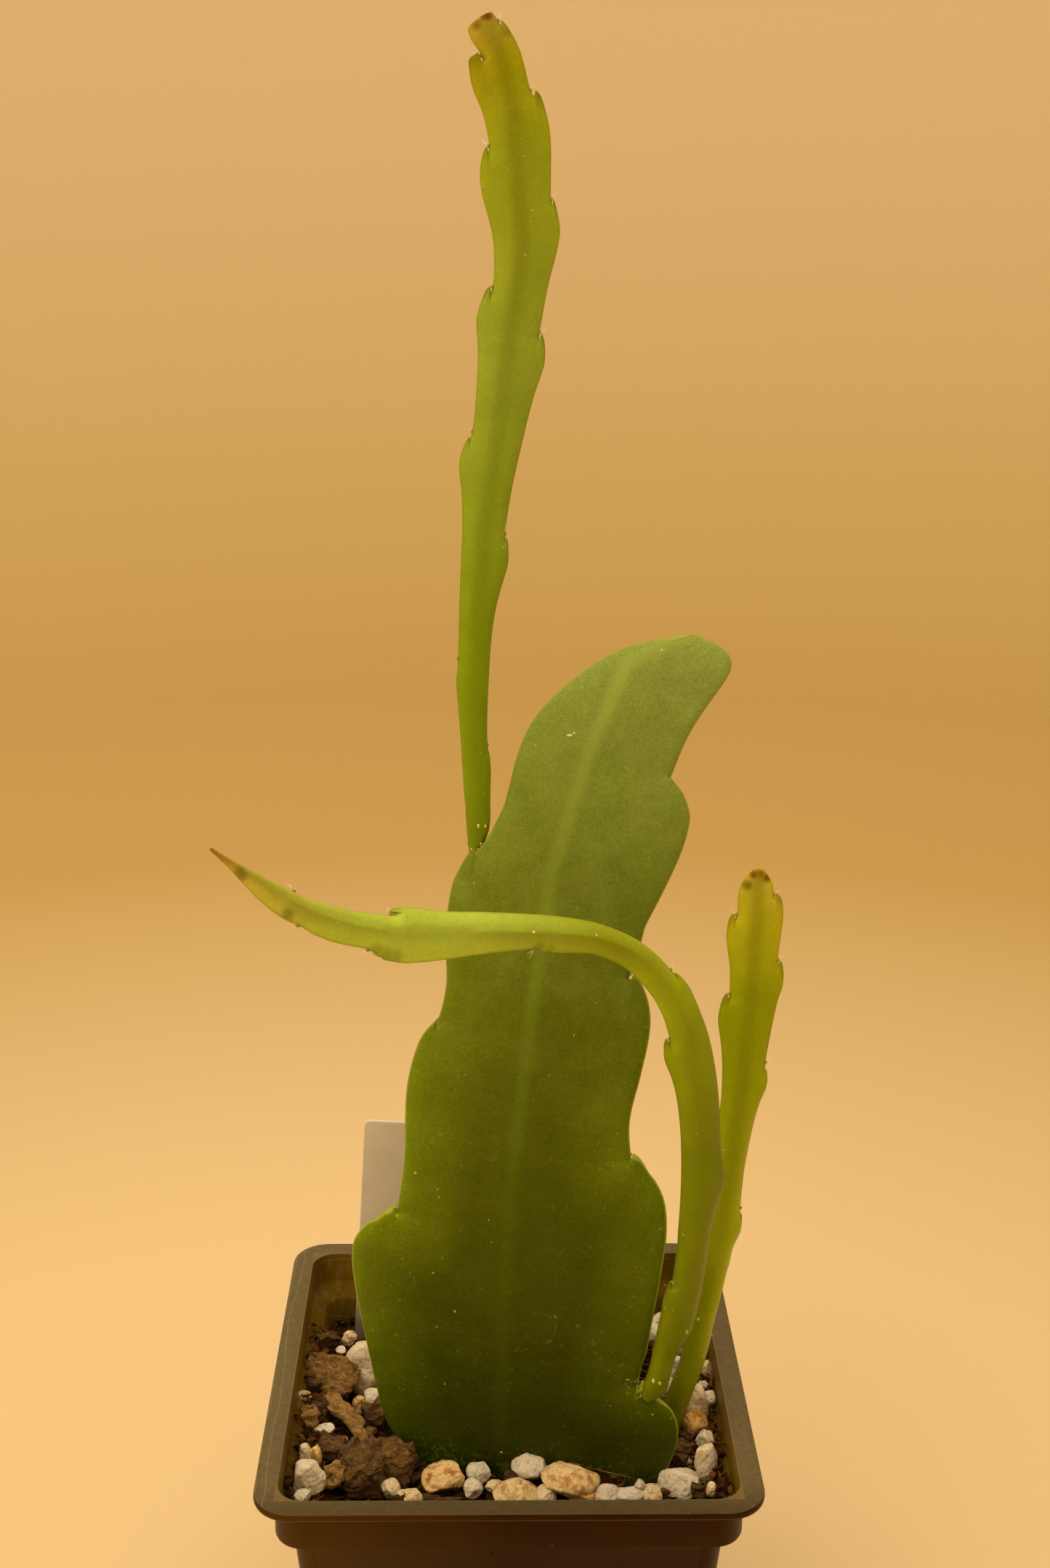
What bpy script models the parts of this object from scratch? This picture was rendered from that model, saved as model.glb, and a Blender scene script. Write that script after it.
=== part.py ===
"""A potted orchid cactus.

One old flat stem with three new shoots stands in dark potting mix, with pumice and bark on the mix, a blank
label behind the stem and a square black pot round it all. Lengths in the tables are millimetres, which MM
turns to metres. The origin is the middle of the pot's foot, +Z is up and the front of the pot faces -Y. Each
stem is a loft along a spine: at every place along it, the section runs from the left margin over the midrib
to the right margin and back.
"""

import math

import bmesh
import bpy
import numpy as np
from mathutils import Matrix, Vector, noise

MM = 0.001
GAP = 0.3  # between pieces that touch on the real plant
SOCKET = 0.35  # how much wider a hole is than what stands in it
SHARP_ANGLE = math.radians(35)

# Square nursery pot, with half widths measured to the flat of the wall
POT_TOP = 84.0
RIM_HALF = 44.5
RIM_CORNER = 7.0
RIM_THICK = 1.5
LIP_ROUND = 0.5
BAND_HALF = 41.1
BAND_CORNER = 5.4
BAND_FOOT = 74.2
STEP_HALF = 38.35
STEP_CORNER = 4.6
STEP_FALL = 0.2
FOOT_HALF = 31.5
FOOT_CORNER = 4.0
FOOT_CHAMFER = 1.0
WALL = 0.8
FLOOR = 1.6
CORNER_STEPS = 5
DRAIN_PLACE = 19.5
DRAIN_RADIUS = 4.5
DRAIN_SIDES = 16

# Potting mix
MIX_TOP = 68.1
MIX_FALL = (-1.1, -0.9)  # how much higher than the middle the surface is at the +X wall and at the +Y wall
MIX_HEAP = 2.6  # how much higher the mix is where no grain lies on it
MIX_HEAP_FROM = (3.0, 7.0)  # distance from the nearest grain where the heaps begin and where they are full
MIX_HEAP_LEAST = 0.8
MIX_HEAP_VARIES = 0.4
MIX_LUMP_SIZE = 7.0
MIX_CELLS = 20
MIX_SHOULDER = 4.0
MIX_SIDE_RINGS = 3

# Label
LABEL_WIDTH = 16.0
LABEL_LENGTH = 100.0
LABEL_THICK = 0.8
LABEL_POINT = 22.0
LABEL_CORNER = 1.2
LABEL_TOP = (-20.7, 30.5, 119.9)
LABEL_LEAN = math.radians(3.3)

# Old pad: where it leaves the soil, the way it faces, and how far it leans back at each height on it
PAD_FOOT = Vector((2.0, -13.5, 71.0))
PAD_YAW = math.radians(12.0)
PAD_LEAN = [(-20, -4), (0, 1), (30, 4), (80, 7), (110, 12), (140, 20), (170, 26)]
PAD_CUT_END = -14.0
PAD_TIP = 158.0
PAD_SPINE_STEP = 4.0
PAD_LEFT = [
    [
        (-14, -16.0), (-6, -19.5), (0, -21.4), (4.8, -25.3), (18, -28.5), (37, -32.2), (43.8, -31.5),
        (47.8, -27.6), (49.1, -23.9),
    ],
    [(49.1, -23.9), (59.5, -22.5), (72.9, -22.4), (79.9, -21.0), (84.2, -19.4), (85.6, -17.1)],
    [(85.6, -17.1), (92.6, -15.4), (103.2, -15.9), (112.4, -14.9), (117.1, -12.0)],
    [(117.1, -12.0), (124.4, -7.0), (137.7, -4.1), (144.9, -0.1), (151.9, 7.4), (156.4, 15.3), (157.3, 19.3)],
    [(157.3, 19.3), (157.8, 21.3), (158.0, 23.6)],
]
PAD_RIGHT = [
    [(-14, 19.0), (-6, 23.5), (0, 26.5), (5.4, 28.9), (12, 30.1), (17.4, 27.7), (18.6, 24.1), (20.1, 22.3)],
    [(20.1, 22.3), (30.4, 23.9), (48.7, 26.1), (57.1, 25.6), (61.6, 23.1), (63.4, 20.3), (63.9, 19.3)],
    [(63.9, 19.3), (71, 18.5), (78.7, 20.1), (90, 21.8), (95.1, 20.3), (97.3, 17.4)],
    [(97.3, 17.4), (103.7, 19.2), (106.8, 19.8)],
    [(106.8, 19.8), (113.2, 22.7), (121.9, 26.0), (127.2, 26.5), (131, 24.7), (133.0, 22.7)],
    [(133.0, 22.7), (141.6, 25.7), (150.5, 31.1), (153.8, 32.1), (156.4, 30.3), (157.6, 27.8), (158.0, 25.8)],
]
PAD_MIDRIB = [
    (-14, -3.0), (27, -2.8), (58, -2.1), (88, 0.6), (114, 3.0), (133, 7.4), (152, 13.6), (158, 24.7),
]
PAD_RIB_THICK = [(-14, 5.6), (10, 6.6), (60, 5.8), (120, 4.6), (150, 3.6), (158, 1.6)]
PAD_EDGE_THICK = [(-14, 4.2), (10, 4.4), (60, 3.4), (120, 2.8), (150, 2.4), (158, 1.2)]
PAD_ROUND = [(-14, 0.0), (158, 0.0)]

# Shoots: spine points, then for each margin its lobes from one notch to the next as (along, out)
TALL_SPINE = [
    (-6.6, 1.3, 187.4), (-6.1, 1.8, 198.5), (-6.7, 2.6, 214.5), (-6.0, 3.5, 232), (-4.7, 4.2, 246),
    (-2.6, 5.0, 261), (-0.8, 5.4, 276), (1.2, 5.8, 290.5), (0.2, 5.9, 303.5), (-0.4, 6.0, 313),
    (-2.9, 6.0, 321.5), (-5.0, 6.0, 327.1),
]
TALL_LEFT = [
    [(0, 0.9), (2.6, 1.5), (5.9, 1.9), (12, 2.3), (24, 2.5), (31, 3.1), (33.6, 2.9)],
    [(33.6, 2.8), (45.6, 3.2), (56, 3.7), (63.4, 4.7), (67.6, 6.0), (70.2, 5.8), (72.0, 4.4)],
    [(72.0, 4.2), (79.9, 4.5), (86.2, 4.9), (92.0, 6.1), (94.4, 5.8), (96.1, 4.2)],
    [(96.1, 4.0), (105.6, 4.8), (112.3, 6.0), (116.4, 6.3), (118.2, 5.5), (119.0, 4.3)],
    [(119.0, 4.1), (125.2, 5.0), (130.6, 5.9), (133.2, 5.6), (134.0, 4.1)],
    [(134.0, 2.9), (137.5, 3.0), (139.6, 2.9), (140.6, 1.2)],
]
TALL_RIGHT = [
    [(0, 0.9), (1.7, 1.9), (4.0, 2.9), (8, 2.4), (15.6, 2.7), (17.2, 2.9), (18.6, 2.4)],
    [(18.6, 2.2), (29.7, 2.6), (40.1, 2.8), (45.6, 3.4), (51.5, 4.7), (54.4, 4.9), (56.0, 3.8)],
    [(56.0, 3.6), (64.6, 3.7), (73.6, 4.4), (81.2, 5.3), (86.6, 6.7), (88.9, 6.1), (90.0, 5.1)],
    [(90.0, 4.8), (99.8, 5.0), (104.5, 6.1), (107.2, 6.5), (109.6, 5.9), (110.3, 5.2)],
    [(110.3, 5.0), (117, 5.7), (122.9, 5.7), (125.9, 4.9), (126.7, 3.3)],
    [(126.7, 3.1), (133.5, 3.3), (136.6, 3.0), (137.9, 1.7)],
    [(137.9, 1.5), (139.4, 1.4), (140.6, 0.9)],
]
TALL_RIB_THICK = [(0, 2.2), (3, 3.6), (30, 3.8), (70, 3.3), (110, 2.6), (136, 2.0), (140.6, 1.1)]
TALL_EDGE_THICK = [(0, 2.0), (30, 3.4), (60, 2.2), (100, 1.5), (140.6, 1.0)]
TALL_ROUND = [(0, 1.0), (30, 0.9), (60, 0.4), (90, 0.0), (141, 0.0)]
TALL_ACROSS = [(0, (1, 0, 0)), (141, (1, 0, 0))]

ARCH_SPINE = [
    (24.7, -17.9, 90.4), (28.6, -18.9, 102), (32.0, -20.2, 120.5), (33.0, -21.4, 135), (31.9, -23.4, 153),
    (28.6, -26.5, 167), (21.6, -30.4, 179.8), (12, -35, 186), (-4.3, -42, 189.5), (-18.7, -48, 191.7),
    (-31.3, -53, 197.1), (-40.3, -57, 205.2), (-44.6, -59.2, 209.6),
]
ARCH_LEFT = [
    [(0, 0.9), (2.4, 1.9), (8.4, 2.2), (16, 2.6), (21.5, 3.0), (23.7, 2.9)],
    [(23.7, 2.1), (29.3, 2.5), (41.5, 3.2), (57.6, 3.5), (67.4, 4.1), (72.6, 5.1), (74.6, 4.8), (75.9, 3.6)],
    [(75.9, 3.1), (83.4, 2.5), (91.1, 2.8), (99, 2.7), (106, 2.6), (113.1, 3.2), (115.2, 2.9)],
    [(115.2, 2.4), (124, 3.2), (132.1, 4.1), (138.5, 4.5), (141.6, 4.2), (143.5, 3.3)],
    [(143.5, 2.9), (148.5, 3.1), (152.1, 3.1), (154.6, 2.7)],
    [(154.6, 2.5), (161.2, 3.0), (166, 2.7), (170, 1.6), (173.4, 0.7)],
]
ARCH_RIGHT = [
    [(0, 0.9), (2.4, 2.6), (5.5, 3.4), (16.2, 3.9), (24, 3.6), (36.9, 2.9)],
    [(36.9, 2.9), (41.5, 3.6), (45.3, 4.6), (48.2, 4.5), (50.6, 3.8)],
    [(50.6, 3.6), (66.1, 3.5), (80, 3.5), (85.6, 3.7), (88.0, 2.7)],
    [
        (88.0, 2.5), (96.5, 2.3), (106, 2.6), (118, 3.1), (133.4, 3.6), (136.6, 4.5), (138.8, 4.4),
        (139.8, 3.4),
    ],
    [(139.8, 2.9), (147.3, 2.5), (155.5, 2.3)],
    [(155.5, 2.2), (163.4, 1.9), (169, 1.5), (173.4, 0.7)],
]
ARCH_RIB_THICK = [(0, 2.2), (3, 4.4), (40, 5.0), (100, 4.6), (140, 4.0), (165, 2.8), (173.4, 1.2)]
ARCH_EDGE_THICK = [(0, 2.0), (20, 3.4), (60, 2.0), (173.4, 1.0)]
ARCH_ROUND = [(0, 1.0), (25, 0.9), (60, 0.4), (90, 0.2), (174, 0.1)]
ARCH_ACROSS = [
    (0, (1, 0, 0)), (60, (1, 0, 0)), (85, (0.65, 0.12, 0.33)), (105, (0, 0.36, 0.93)),
    (160, (0, 0.59, 0.77)), (174, (0, 0.75, 0.66)),
]

BASAL_SPINE = [
    (28.4, -6.6, 62), (31.2, -7, 74.4), (34.2, -7.5, 89.1), (37.9, -8.5, 108.4), (39.8, -9.5, 130.6),
    (41.5, -9, 149.2), (42.5, -7.2, 168), (43.1, -5.5, 181), (43.2, -5, 186.6),
]
BASAL_LEFT = [
    [(0, 1.5), (6, 2.0), (20, 2.8), (29, 2.1), (50, 2.6), (70, 3.0), (84, 3.5)],
    [(84, 3.4), (90, 3.9), (95.2, 4.6), (99, 5.7), (101.6, 5.2), (102.4, 4.0)],
    [(102.4, 3.6), (107.6, 3.9), (112, 4.7), (114.6, 5.4), (116.2, 4.9), (117.0, 3.6)],
    [(117.0, 3.3), (122, 3.4), (124.2, 2.9), (126.2, 0.9)],
]
BASAL_RIGHT = [
    [(0, 1.5), (8, 1.8), (17.8, 2.0), (28, 2.8), (39, 2.4), (49.4, 2.5), (53, 2.6)],
    [(53, 2.6), (55, 2.9), (57.4, 3.8), (59.4, 3.7), (61, 3.1)],
    [(61, 3.0), (70, 2.7), (79.5, 3.1), (84, 3.8), (87.4, 4.9), (89.2, 4.3), (90.2, 3.7)],
    [(90.2, 3.7), (98.5, 4.5), (103.2, 5.2), (106.6, 6.2), (108.4, 5.6), (109, 4.5)],
    [(109, 4.4), (116, 4.8), (119.4, 5.2), (120.7, 4.3), (121, 3.2)],
    [(121, 3.0), (124, 2.7), (126.2, 0.9)],
]
BASAL_RIB_THICK = [(0, 3.0), (10, 4.4), (50, 4.4), (90, 3.4), (120, 2.2), (126.2, 1.1)]
BASAL_EDGE_THICK = [(0, 3.0), (40, 2.8), (80, 1.8), (126.2, 1.0)]
BASAL_ROUND = [(0, 1.0), (35, 0.9), (70, 0.4), (95, 0.1), (127, 0.0)]
BASAL_ACROSS = [(0, (1, 0, 0)), (127, (1, 0, 0))]

PAD_ROW = 3.6  # spacing of the sections along a stem
SHOOT_ROW = 4.4
ROW_LEAST = 0.7
NOTCH_ROW_LEAST = 0.28
NOTCH_POINTS = 3  # how many points at the end of a lobe shape its notch
PAD_ACROSS_STEPS = (0.0, 0.2, 0.62, 0.95)
SHOOT_ACROSS_STEPS = (0.0, 0.72)
RIB_FALL = 1.7  # how fast the midrib thins away towards the margins
MARGIN_ROUND_FROM = 0.95
MARGIN_ROUND = 0.75
SPLINE_STEPS = 6

# Stones in chains that touch: x, y, length, width, height, turn in degrees, middle's height above the mix
FRONT_STONES = [
    (-21.1, -24.2, 4.6, 4.2, 4.6, 20, 4.1), (-17.6, -25.6, 4.8, 3.8, 3.8, -15, 3.1),
    (-11.8, -20.6, 9.0, 5.6, 6.2, 8, 4.3), (-5.9, -19.4, 4.4, 3.6, 4.2, 30, 4.3),
    (-6.4, -23.4, 4.2, 3.8, 3.8, 0, 3.3), (0.9, -25.9, 8.6, 6.0, 5.8, 0, 3.7),
    (3.7, -19.8, 6.2, 5.2, 6.2, 40, 5.4), (10.7, -23.0, 10.8, 7.4, 8.0, -12, 5.0),
    (17.6, -24.8, 5.4, 4.6, 4.8, 20, 3.7), (22.4, -25.0, 4.8, 4.4, 5.0, 35, 3.7),
    (26.2, -25.6, 4.8, 4.0, 3.8, 10, 3.3), (31.2, -22.9, 7.8, 5.0, 5.8, 38, 4.3),
]
RIGHT_STONES = [
    (35.2, -15.8, 3.6, 6.4, 5.8, 12, 4.5), (34.9, -9.6, 3.6, 3.4, 3.6, 0, 3.9),
    (34.2, -1.6, 4.6, 4.2, 6.4, 15, 5.1), (34.9, 3.4, 3.4, 4.8, 5.0, 30, 4.3),
    (34.6, 9.0, 4.0, 5.4, 4.4, 0, 3.9), (32.0, 14.6, 6.0, 5.4, 6.6, 25, 4.9),
    (33.2, 20.8, 4.6, 6.2, 5.6, -20, 4.3), (31.4, 27.6, 7.0, 5.6, 7.0, 10, 4.9),
    (32.6, 33.0, 5.0, 4.0, 4.6, 0, 3.9),
]
BACK_STONES = [
    (24.0, 31.5, 6.6, 5.6, 5.6, 10, 3.9), (15.8, 29.0, 8.0, 6.4, 6.4, -25, 4.2),
    (7.0, 31.4, 6.4, 5.8, 5.6, 40, 3.8), (-1.2, 28.2, 8.4, 6.0, 6.2, -10, 4.3),
    (-9.6, 25.4, 6.6, 5.8, 5.8, 30, 4.1), (-14.8, 18.0, 6.4, 6.8, 6.0, 60, 4.0),
    (-6.4, 13.6, 7.0, 5.4, 5.6, 10, 3.9), (2.6, 12.8, 6.4, 6.0, 5.4, 0, 3.9),
    (11.0, 14.6, 7.4, 5.8, 6.0, -30, 4.1), (20.0, 15.2, 7.0, 5.8, 5.6, 15, 4.0),
]
LEFT_FRONT_STONES = [
    (-33.9, -26.0, 4.2, 3.6, 3.4, 20, 3.3), (-33.9, -20.0, 5.2, 6.4, 6.2, -10, 4.5),
    (-34.2, -13.6, 3.6, 4.0, 4.2, 0, 4.7),
]
LEFT_BACK_STONES = [
    (-28.6, 2.2, 3.8, 3.6, 4.0, 0, 4.1), (-27.0, 5.8, 3.6, 3.4, 3.8, 25, 4.7),
    (-28.2, 9.4, 4.8, 5.0, 8.6, -8, 7.1),
]
STONES = {
    "pumice_front": (FRONT_STONES, 100),
    "pumice_right": (RIGHT_STONES, 200),
    "pumice_back": (BACK_STONES, 300),
    "pumice_left_front": (LEFT_FRONT_STONES, 400),
    "pumice_left_back": (LEFT_BACK_STONES, 500),
}
STONE_LUMPS = ((1.4, 0.16), (3.1, 0.08))  # how many lumps lie along a radius, and their depth in radii
SEED_SHIFT = Vector((7.3, 3.1, 5.7))

# Bark in the same columns
FRONT_BARK = [
    (-32.2, -9.0, 6.4, 4.6, 4.8, 25, 3.7), (-29.4, -17.6, 5.0, 8.6, 5.6, -15, 3.9),
    (-24.6, -16.0, 6.2, 8.2, 7.4, 8, 4.9),
]
BACK_BARK = [
    (-23.8, -3.4, 4.6, 4.4, 4.8, 30, 3.9), (-32.4, -1.2, 9.0, 4.4, 4.0, -38, 4.5),
    (-32.8, 10.8, 7.4, 7.6, 5.4, 8, 4.9), (-33.6, 18.2, 4.6, 4.6, 4.0, 20, 4.5),
    (-31.0, 24.4, 5.6, 4.6, 4.4, -20, 3.5),
]
BARK = {"bark_front": (FRONT_BARK, 600), "bark_back": (BACK_BARK, 720)}
BARK_SOFTNESS = 0.45  # 0 leaves a block's corners square, 1 makes it a ball of radius BARK_BALL
BARK_BALL = 1.15
BARK_TORN = 0.22
BARK_TEARS = 1.3

# The small grain between two others
LINK_RISE = 2.5
LINK_HEIGHT = 4.0
LINK_WIDTH = 3.6
LINK_REACH = 4.0  # how far it runs past the middles of the two it joins, both ends together
LINK_SEED = 50

PLASTIC_COLOUR = (0.03, 0.025, 0.02)
MIX_COLOUR = (0.035, 0.02, 0.012)
OLD_STEM_COLOUR = (0.045, 0.09, 0.012)
NEW_STEM_COLOUR = (0.22, 0.28, 0.02)
LABEL_COLOUR = (0.45, 0.4, 0.3)
PUMICE_COLOUR = (0.7, 0.6, 0.42)
BARK_COLOUR = (0.1, 0.05, 0.025)


def smooth_line(points):
    """Points of a Catmull-Rom curve through the given ones."""
    given = np.array(points, float)
    ends = np.vstack([2 * given[0] - given[1], given, 2 * given[-1] - given[-2]])
    line = []
    for before, start, end, after in zip(ends, ends[1:], ends[2:], ends[3:]):
        for t in np.arange(SPLINE_STEPS) / SPLINE_STEPS:
            slope = (end - before) * t
            bend = (2 * before - 5 * start + 4 * end - after) * t**2
            twist = (3 * start - before - 3 * end + after) * t**3
            line.append(start + (slope + bend + twist) / 2)
    line.append(given[-1])
    return np.array(line)


def margin_line(lobes):
    """(along, out) of one margin, each lobe smooth and each notch between two lobes sharp."""
    return np.vstack([smooth_line(lobe) for lobe in lobes])


def read(table, along):
    """The value of a two-column table at a place along the stem."""
    table = np.array(table, float)
    return float(np.interp(along, table[:, 0], table[:, 1]))


def point_along(line, place):
    """The point of a line at a distance from its start, also a little before its start or past its end."""
    along = np.concatenate([[0], np.cumsum(np.linalg.norm(np.diff(line, axis=0), axis=1))])
    inside = min(max(place, 0), along[-1])
    point = np.array([np.interp(inside, along, line[:, k]) for k in range(3)])
    way = line[0] - line[1] if place < inside else line[-1] - line[-2]
    return Vector(point + way / np.linalg.norm(way) * abs(place - inside))


def rows_along(spacing, *margins):
    """Where the sections lie: at an even spacing, and at each point that shapes a notch."""
    start, end = margins[0][0][0][0], margins[0][-1][-1][0]
    rows = list(np.linspace(start, end, round(end / spacing)))
    shaping = sorted(point[0] for lobes in margins for lobe in lobes for point in lobe[-NOTCH_POINTS:])
    for place in shaping:
        rows = [row for row in rows if abs(row - place) > ROW_LEAST or row in (rows[0], rows[-1])]
        if all(abs(row - place) > NOTCH_ROW_LEAST for row in rows):
            rows.append(place)
    return sorted(rows)


def section(left, middle, right, rib, edge, roundness, steps, grow):
    """(across, out of the blade) round one section, from the left margin over the front and back."""
    front = []
    for side in (-1, 1):
        reach = left if side < 0 else right
        for step in steps if side > 0 else steps[:0:-1]:
            flat = edge + (rib - edge) * (1 - step) ** RIB_FALL
            if step >= MARGIN_ROUND_FROM:
                flat *= MARGIN_ROUND
            turned = rib * math.sqrt(1 - step**2)
            half = (flat * (1 - roundness) + turned * roundness) / 2 + grow
            front.append((middle + (reach + side * grow - middle) * step, half))
    back = [(across, -out) for across, out in reversed(front)]
    return [(left - grow, 0.0)] + front + [(right + grow, 0.0)] + back


def mesh_object(name, work, collection=None):
    mesh = bpy.data.meshes.new(name)
    work.to_mesh(mesh)
    work.free()
    piece = bpy.data.objects.new(name, mesh)
    (collection or parts).objects.link(piece)
    return piece


def loft(name, rings):
    """A closed mesh through rings of equally many points, with a flat face on each end."""
    work = bmesh.new()
    loops = [[work.verts.new(Vector(point) * MM) for point in ring] for ring in rings]
    count = len(loops[0])
    for lower, upper in zip(loops, loops[1:]):
        for k in range(count):
            work.faces.new((lower[k], lower[(k + 1) % count], upper[(k + 1) % count], upper[k]))
    work.faces.new(loops[0])
    work.faces.new(loops[-1])
    bmesh.ops.recalc_face_normals(work, faces=work.faces)
    return mesh_object(name, work)


def stem(name, spine, left, right, middle, rib, edge, roundness, across, spacing, steps, grow):
    """A flat or round stem lofted along its spine, from its margins, thicknesses and the way it faces."""
    line = smooth_line(spine)
    left_line, right_line, middle_line = margin_line(left), margin_line(right), smooth_line(middle)
    rows = rows_along(spacing, left, right)
    places = [place for place, _ in across]
    ways = np.array([way for _, way in across], float)
    rings = []
    for row in rows:
        here = row - rows[0]
        if grow and row in (rows[0], rows[-1]):
            here += grow if row > rows[0] else -grow
        centre = point_along(line, here)
        onward = (point_along(line, here + 1) - point_along(line, here - 1)).normalized()
        sideways = Vector([np.interp(row, places, ways[:, k]) for k in range(3)])
        sideways = (sideways - onward * sideways.dot(onward)).normalized()
        outward = sideways.cross(onward)
        reaches = [read(margin, row) for margin in (left_line, middle_line, right_line)]
        ring = section(*reaches, read(rib, row), read(edge, row), read(roundness, row), steps, grow)
        rings.append([centre + sideways * x + outward * out for x, out in ring])
    return loft(name, rings)


def shoot(name, spine, left, right, rib, edge, roundness, across, grow):
    """A stem whose midrib is its spine. Both its margins are measured outwards from it."""
    mirrored = [[(along, -out) for along, out in lobe] for lobe in left]
    middle = [(left[0][0][0], 0.0), (left[-1][-1][0], 0.0)]
    return stem(
        name, spine, mirrored, right, middle, rib, edge, roundness, across,
        SHOOT_ROW, SHOOT_ACROSS_STEPS, grow,
    )


def pad_spine():
    """The old pad's centre line: it leans back more and more towards the top."""
    back = Vector((math.sin(PAD_YAW), math.cos(PAD_YAW), 0))
    places = np.arange(PAD_CUT_END, PAD_TIP + PAD_SPINE_STEP, PAD_SPINE_STEP)
    line = [Vector((0, 0, 0))]
    for place in places[:-1]:
        lean = math.radians(read(PAD_LEAN, place))
        line.append(line[-1] + (back * math.sin(lean) + Vector((0, 0, math.cos(lean)))) * PAD_SPINE_STEP)
    at_soil = point_along(np.array(line), -PAD_CUT_END)
    return [point - at_soil + PAD_FOOT for point in line]


def old_pad(name, grow=0.0):
    way = (math.cos(PAD_YAW), -math.sin(PAD_YAW), 0)
    across = [(PAD_CUT_END, way), (PAD_TIP, way)]
    return stem(
        name, pad_spine(), PAD_LEFT, PAD_RIGHT, PAD_MIDRIB, PAD_RIB_THICK, PAD_EDGE_THICK, PAD_ROUND, across,
        PAD_ROW, PAD_ACROSS_STEPS, grow,
    )


def tall_shoot(name, grow=0.0):
    return shoot(
        name, TALL_SPINE, TALL_LEFT, TALL_RIGHT, TALL_RIB_THICK, TALL_EDGE_THICK, TALL_ROUND,
        TALL_ACROSS, grow,
    )


def arching_shoot(name, grow=0.0):
    return shoot(
        name, ARCH_SPINE, ARCH_LEFT, ARCH_RIGHT, ARCH_RIB_THICK, ARCH_EDGE_THICK, ARCH_ROUND,
        ARCH_ACROSS, grow,
    )


def basal_shoot(name, grow=0.0):
    return shoot(
        name, BASAL_SPINE, BASAL_LEFT, BASAL_RIGHT, BASAL_RIB_THICK, BASAL_EDGE_THICK, BASAL_ROUND,
        BASAL_ACROSS, grow,
    )


def rounded_square(half, corner, height):
    """One ring of the pot: a square with round corners."""
    ring = []
    for quarter in range(4):
        middle = Vector((half - corner, half - corner))
        middle.rotate(Matrix.Rotation(math.pi / 2 * quarter, 2))
        for step in range(CORNER_STEPS + 1):
            angle = math.pi / 2 * (quarter + step / CORNER_STEPS)
            ring.append((middle.x + corner * math.cos(angle), middle.y + corner * math.sin(angle), height))
    return ring


def wall_half(height):
    """Half the pot's inner width at a height below the band."""
    return float(np.interp(height, [FLOOR, BAND_FOOT], [FOOT_HALF - WALL, STEP_HALF - WALL]))


def pot():
    """Its wall from the foot up the outside, over the rim and down the inside, with four drain holes."""
    under = POT_TOP - RIM_THICK
    rings = [
        (FOOT_HALF - FOOT_CHAMFER, FOOT_CORNER - FOOT_CHAMFER, 0),
        (FOOT_HALF, FOOT_CORNER, FOOT_CHAMFER),
        (STEP_HALF, STEP_CORNER, BAND_FOOT - STEP_FALL),
        (BAND_HALF - LIP_ROUND, BAND_CORNER - LIP_ROUND, BAND_FOOT),
        (BAND_HALF, BAND_CORNER, BAND_FOOT + LIP_ROUND),
        (BAND_HALF, BAND_CORNER, under),
        (RIM_HALF - LIP_ROUND, RIM_CORNER - LIP_ROUND, under),
        (RIM_HALF, RIM_CORNER, under + LIP_ROUND),
        (RIM_HALF, RIM_CORNER, POT_TOP - LIP_ROUND),
        (RIM_HALF - LIP_ROUND, RIM_CORNER - LIP_ROUND, POT_TOP),
        (BAND_HALF - WALL + LIP_ROUND, BAND_CORNER - WALL + LIP_ROUND, POT_TOP),
        (BAND_HALF - WALL, BAND_CORNER - WALL, POT_TOP - LIP_ROUND),
        (BAND_HALF - WALL, BAND_CORNER - WALL, BAND_FOOT + WALL + LIP_ROUND),
        (STEP_HALF - WALL, STEP_CORNER - WALL, BAND_FOOT + WALL),
        (wall_half(FLOOR + WALL), FOOT_CORNER - WALL, FLOOR + WALL),
        (wall_half(FLOOR) - WALL, FOOT_CORNER - 2 * WALL, FLOOR),
    ]
    shell = loft("pot", [rounded_square(*ring) for ring in rings])
    for x in (-1, 1):
        for y in (-1, 1):
            work = bmesh.new()
            bmesh.ops.create_cone(
                work, cap_ends=True, segments=DRAIN_SIDES, radius1=DRAIN_RADIUS * MM,
                radius2=DRAIN_RADIUS * MM, depth=4 * FLOOR * MM,
            )
            hole = mesh_object(f"drain_{x}_{y}", work, cutters)
            hole.location = Vector((x, y, 0)) * DRAIN_PLACE * MM
            cut(shell, hole)
    return shell


def mix_height(x, y):
    """Height of the mix under the grains at a place, in millimetres."""
    span = wall_half(MIX_TOP)
    return MIX_TOP + MIX_FALL[0] * x / span + MIX_FALL[1] * y / span


def heap(x, y):
    """How much the mix rises above that where no grain lies near."""
    grains = [grain for table, _ in [*STONES.values(), *BARK.values()] for grain in table]
    clear = min(math.hypot(x - grain[0], y - grain[1]) - max(grain[2:4]) / 2 for grain in grains)
    rise = float(np.interp(clear, MIX_HEAP_FROM, (0, MIX_HEAP)))
    return rise * (MIX_HEAP_LEAST + MIX_HEAP_VARIES * noise.noise(Vector((x, y, 0)) / MIX_LUMP_SIZE))


def into_corner(x, y, half, corner):
    """Moves a point of a square with sharp corners into the same square with round ones."""
    past = Vector((max(abs(x) - half + corner, 0), max(abs(y) - half + corner, 0)))
    if min(past) <= 0:
        return x, y
    past *= max(past) / past.length
    return math.copysign(half - corner + past.x, x), math.copysign(half - corner + past.y, y)


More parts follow.
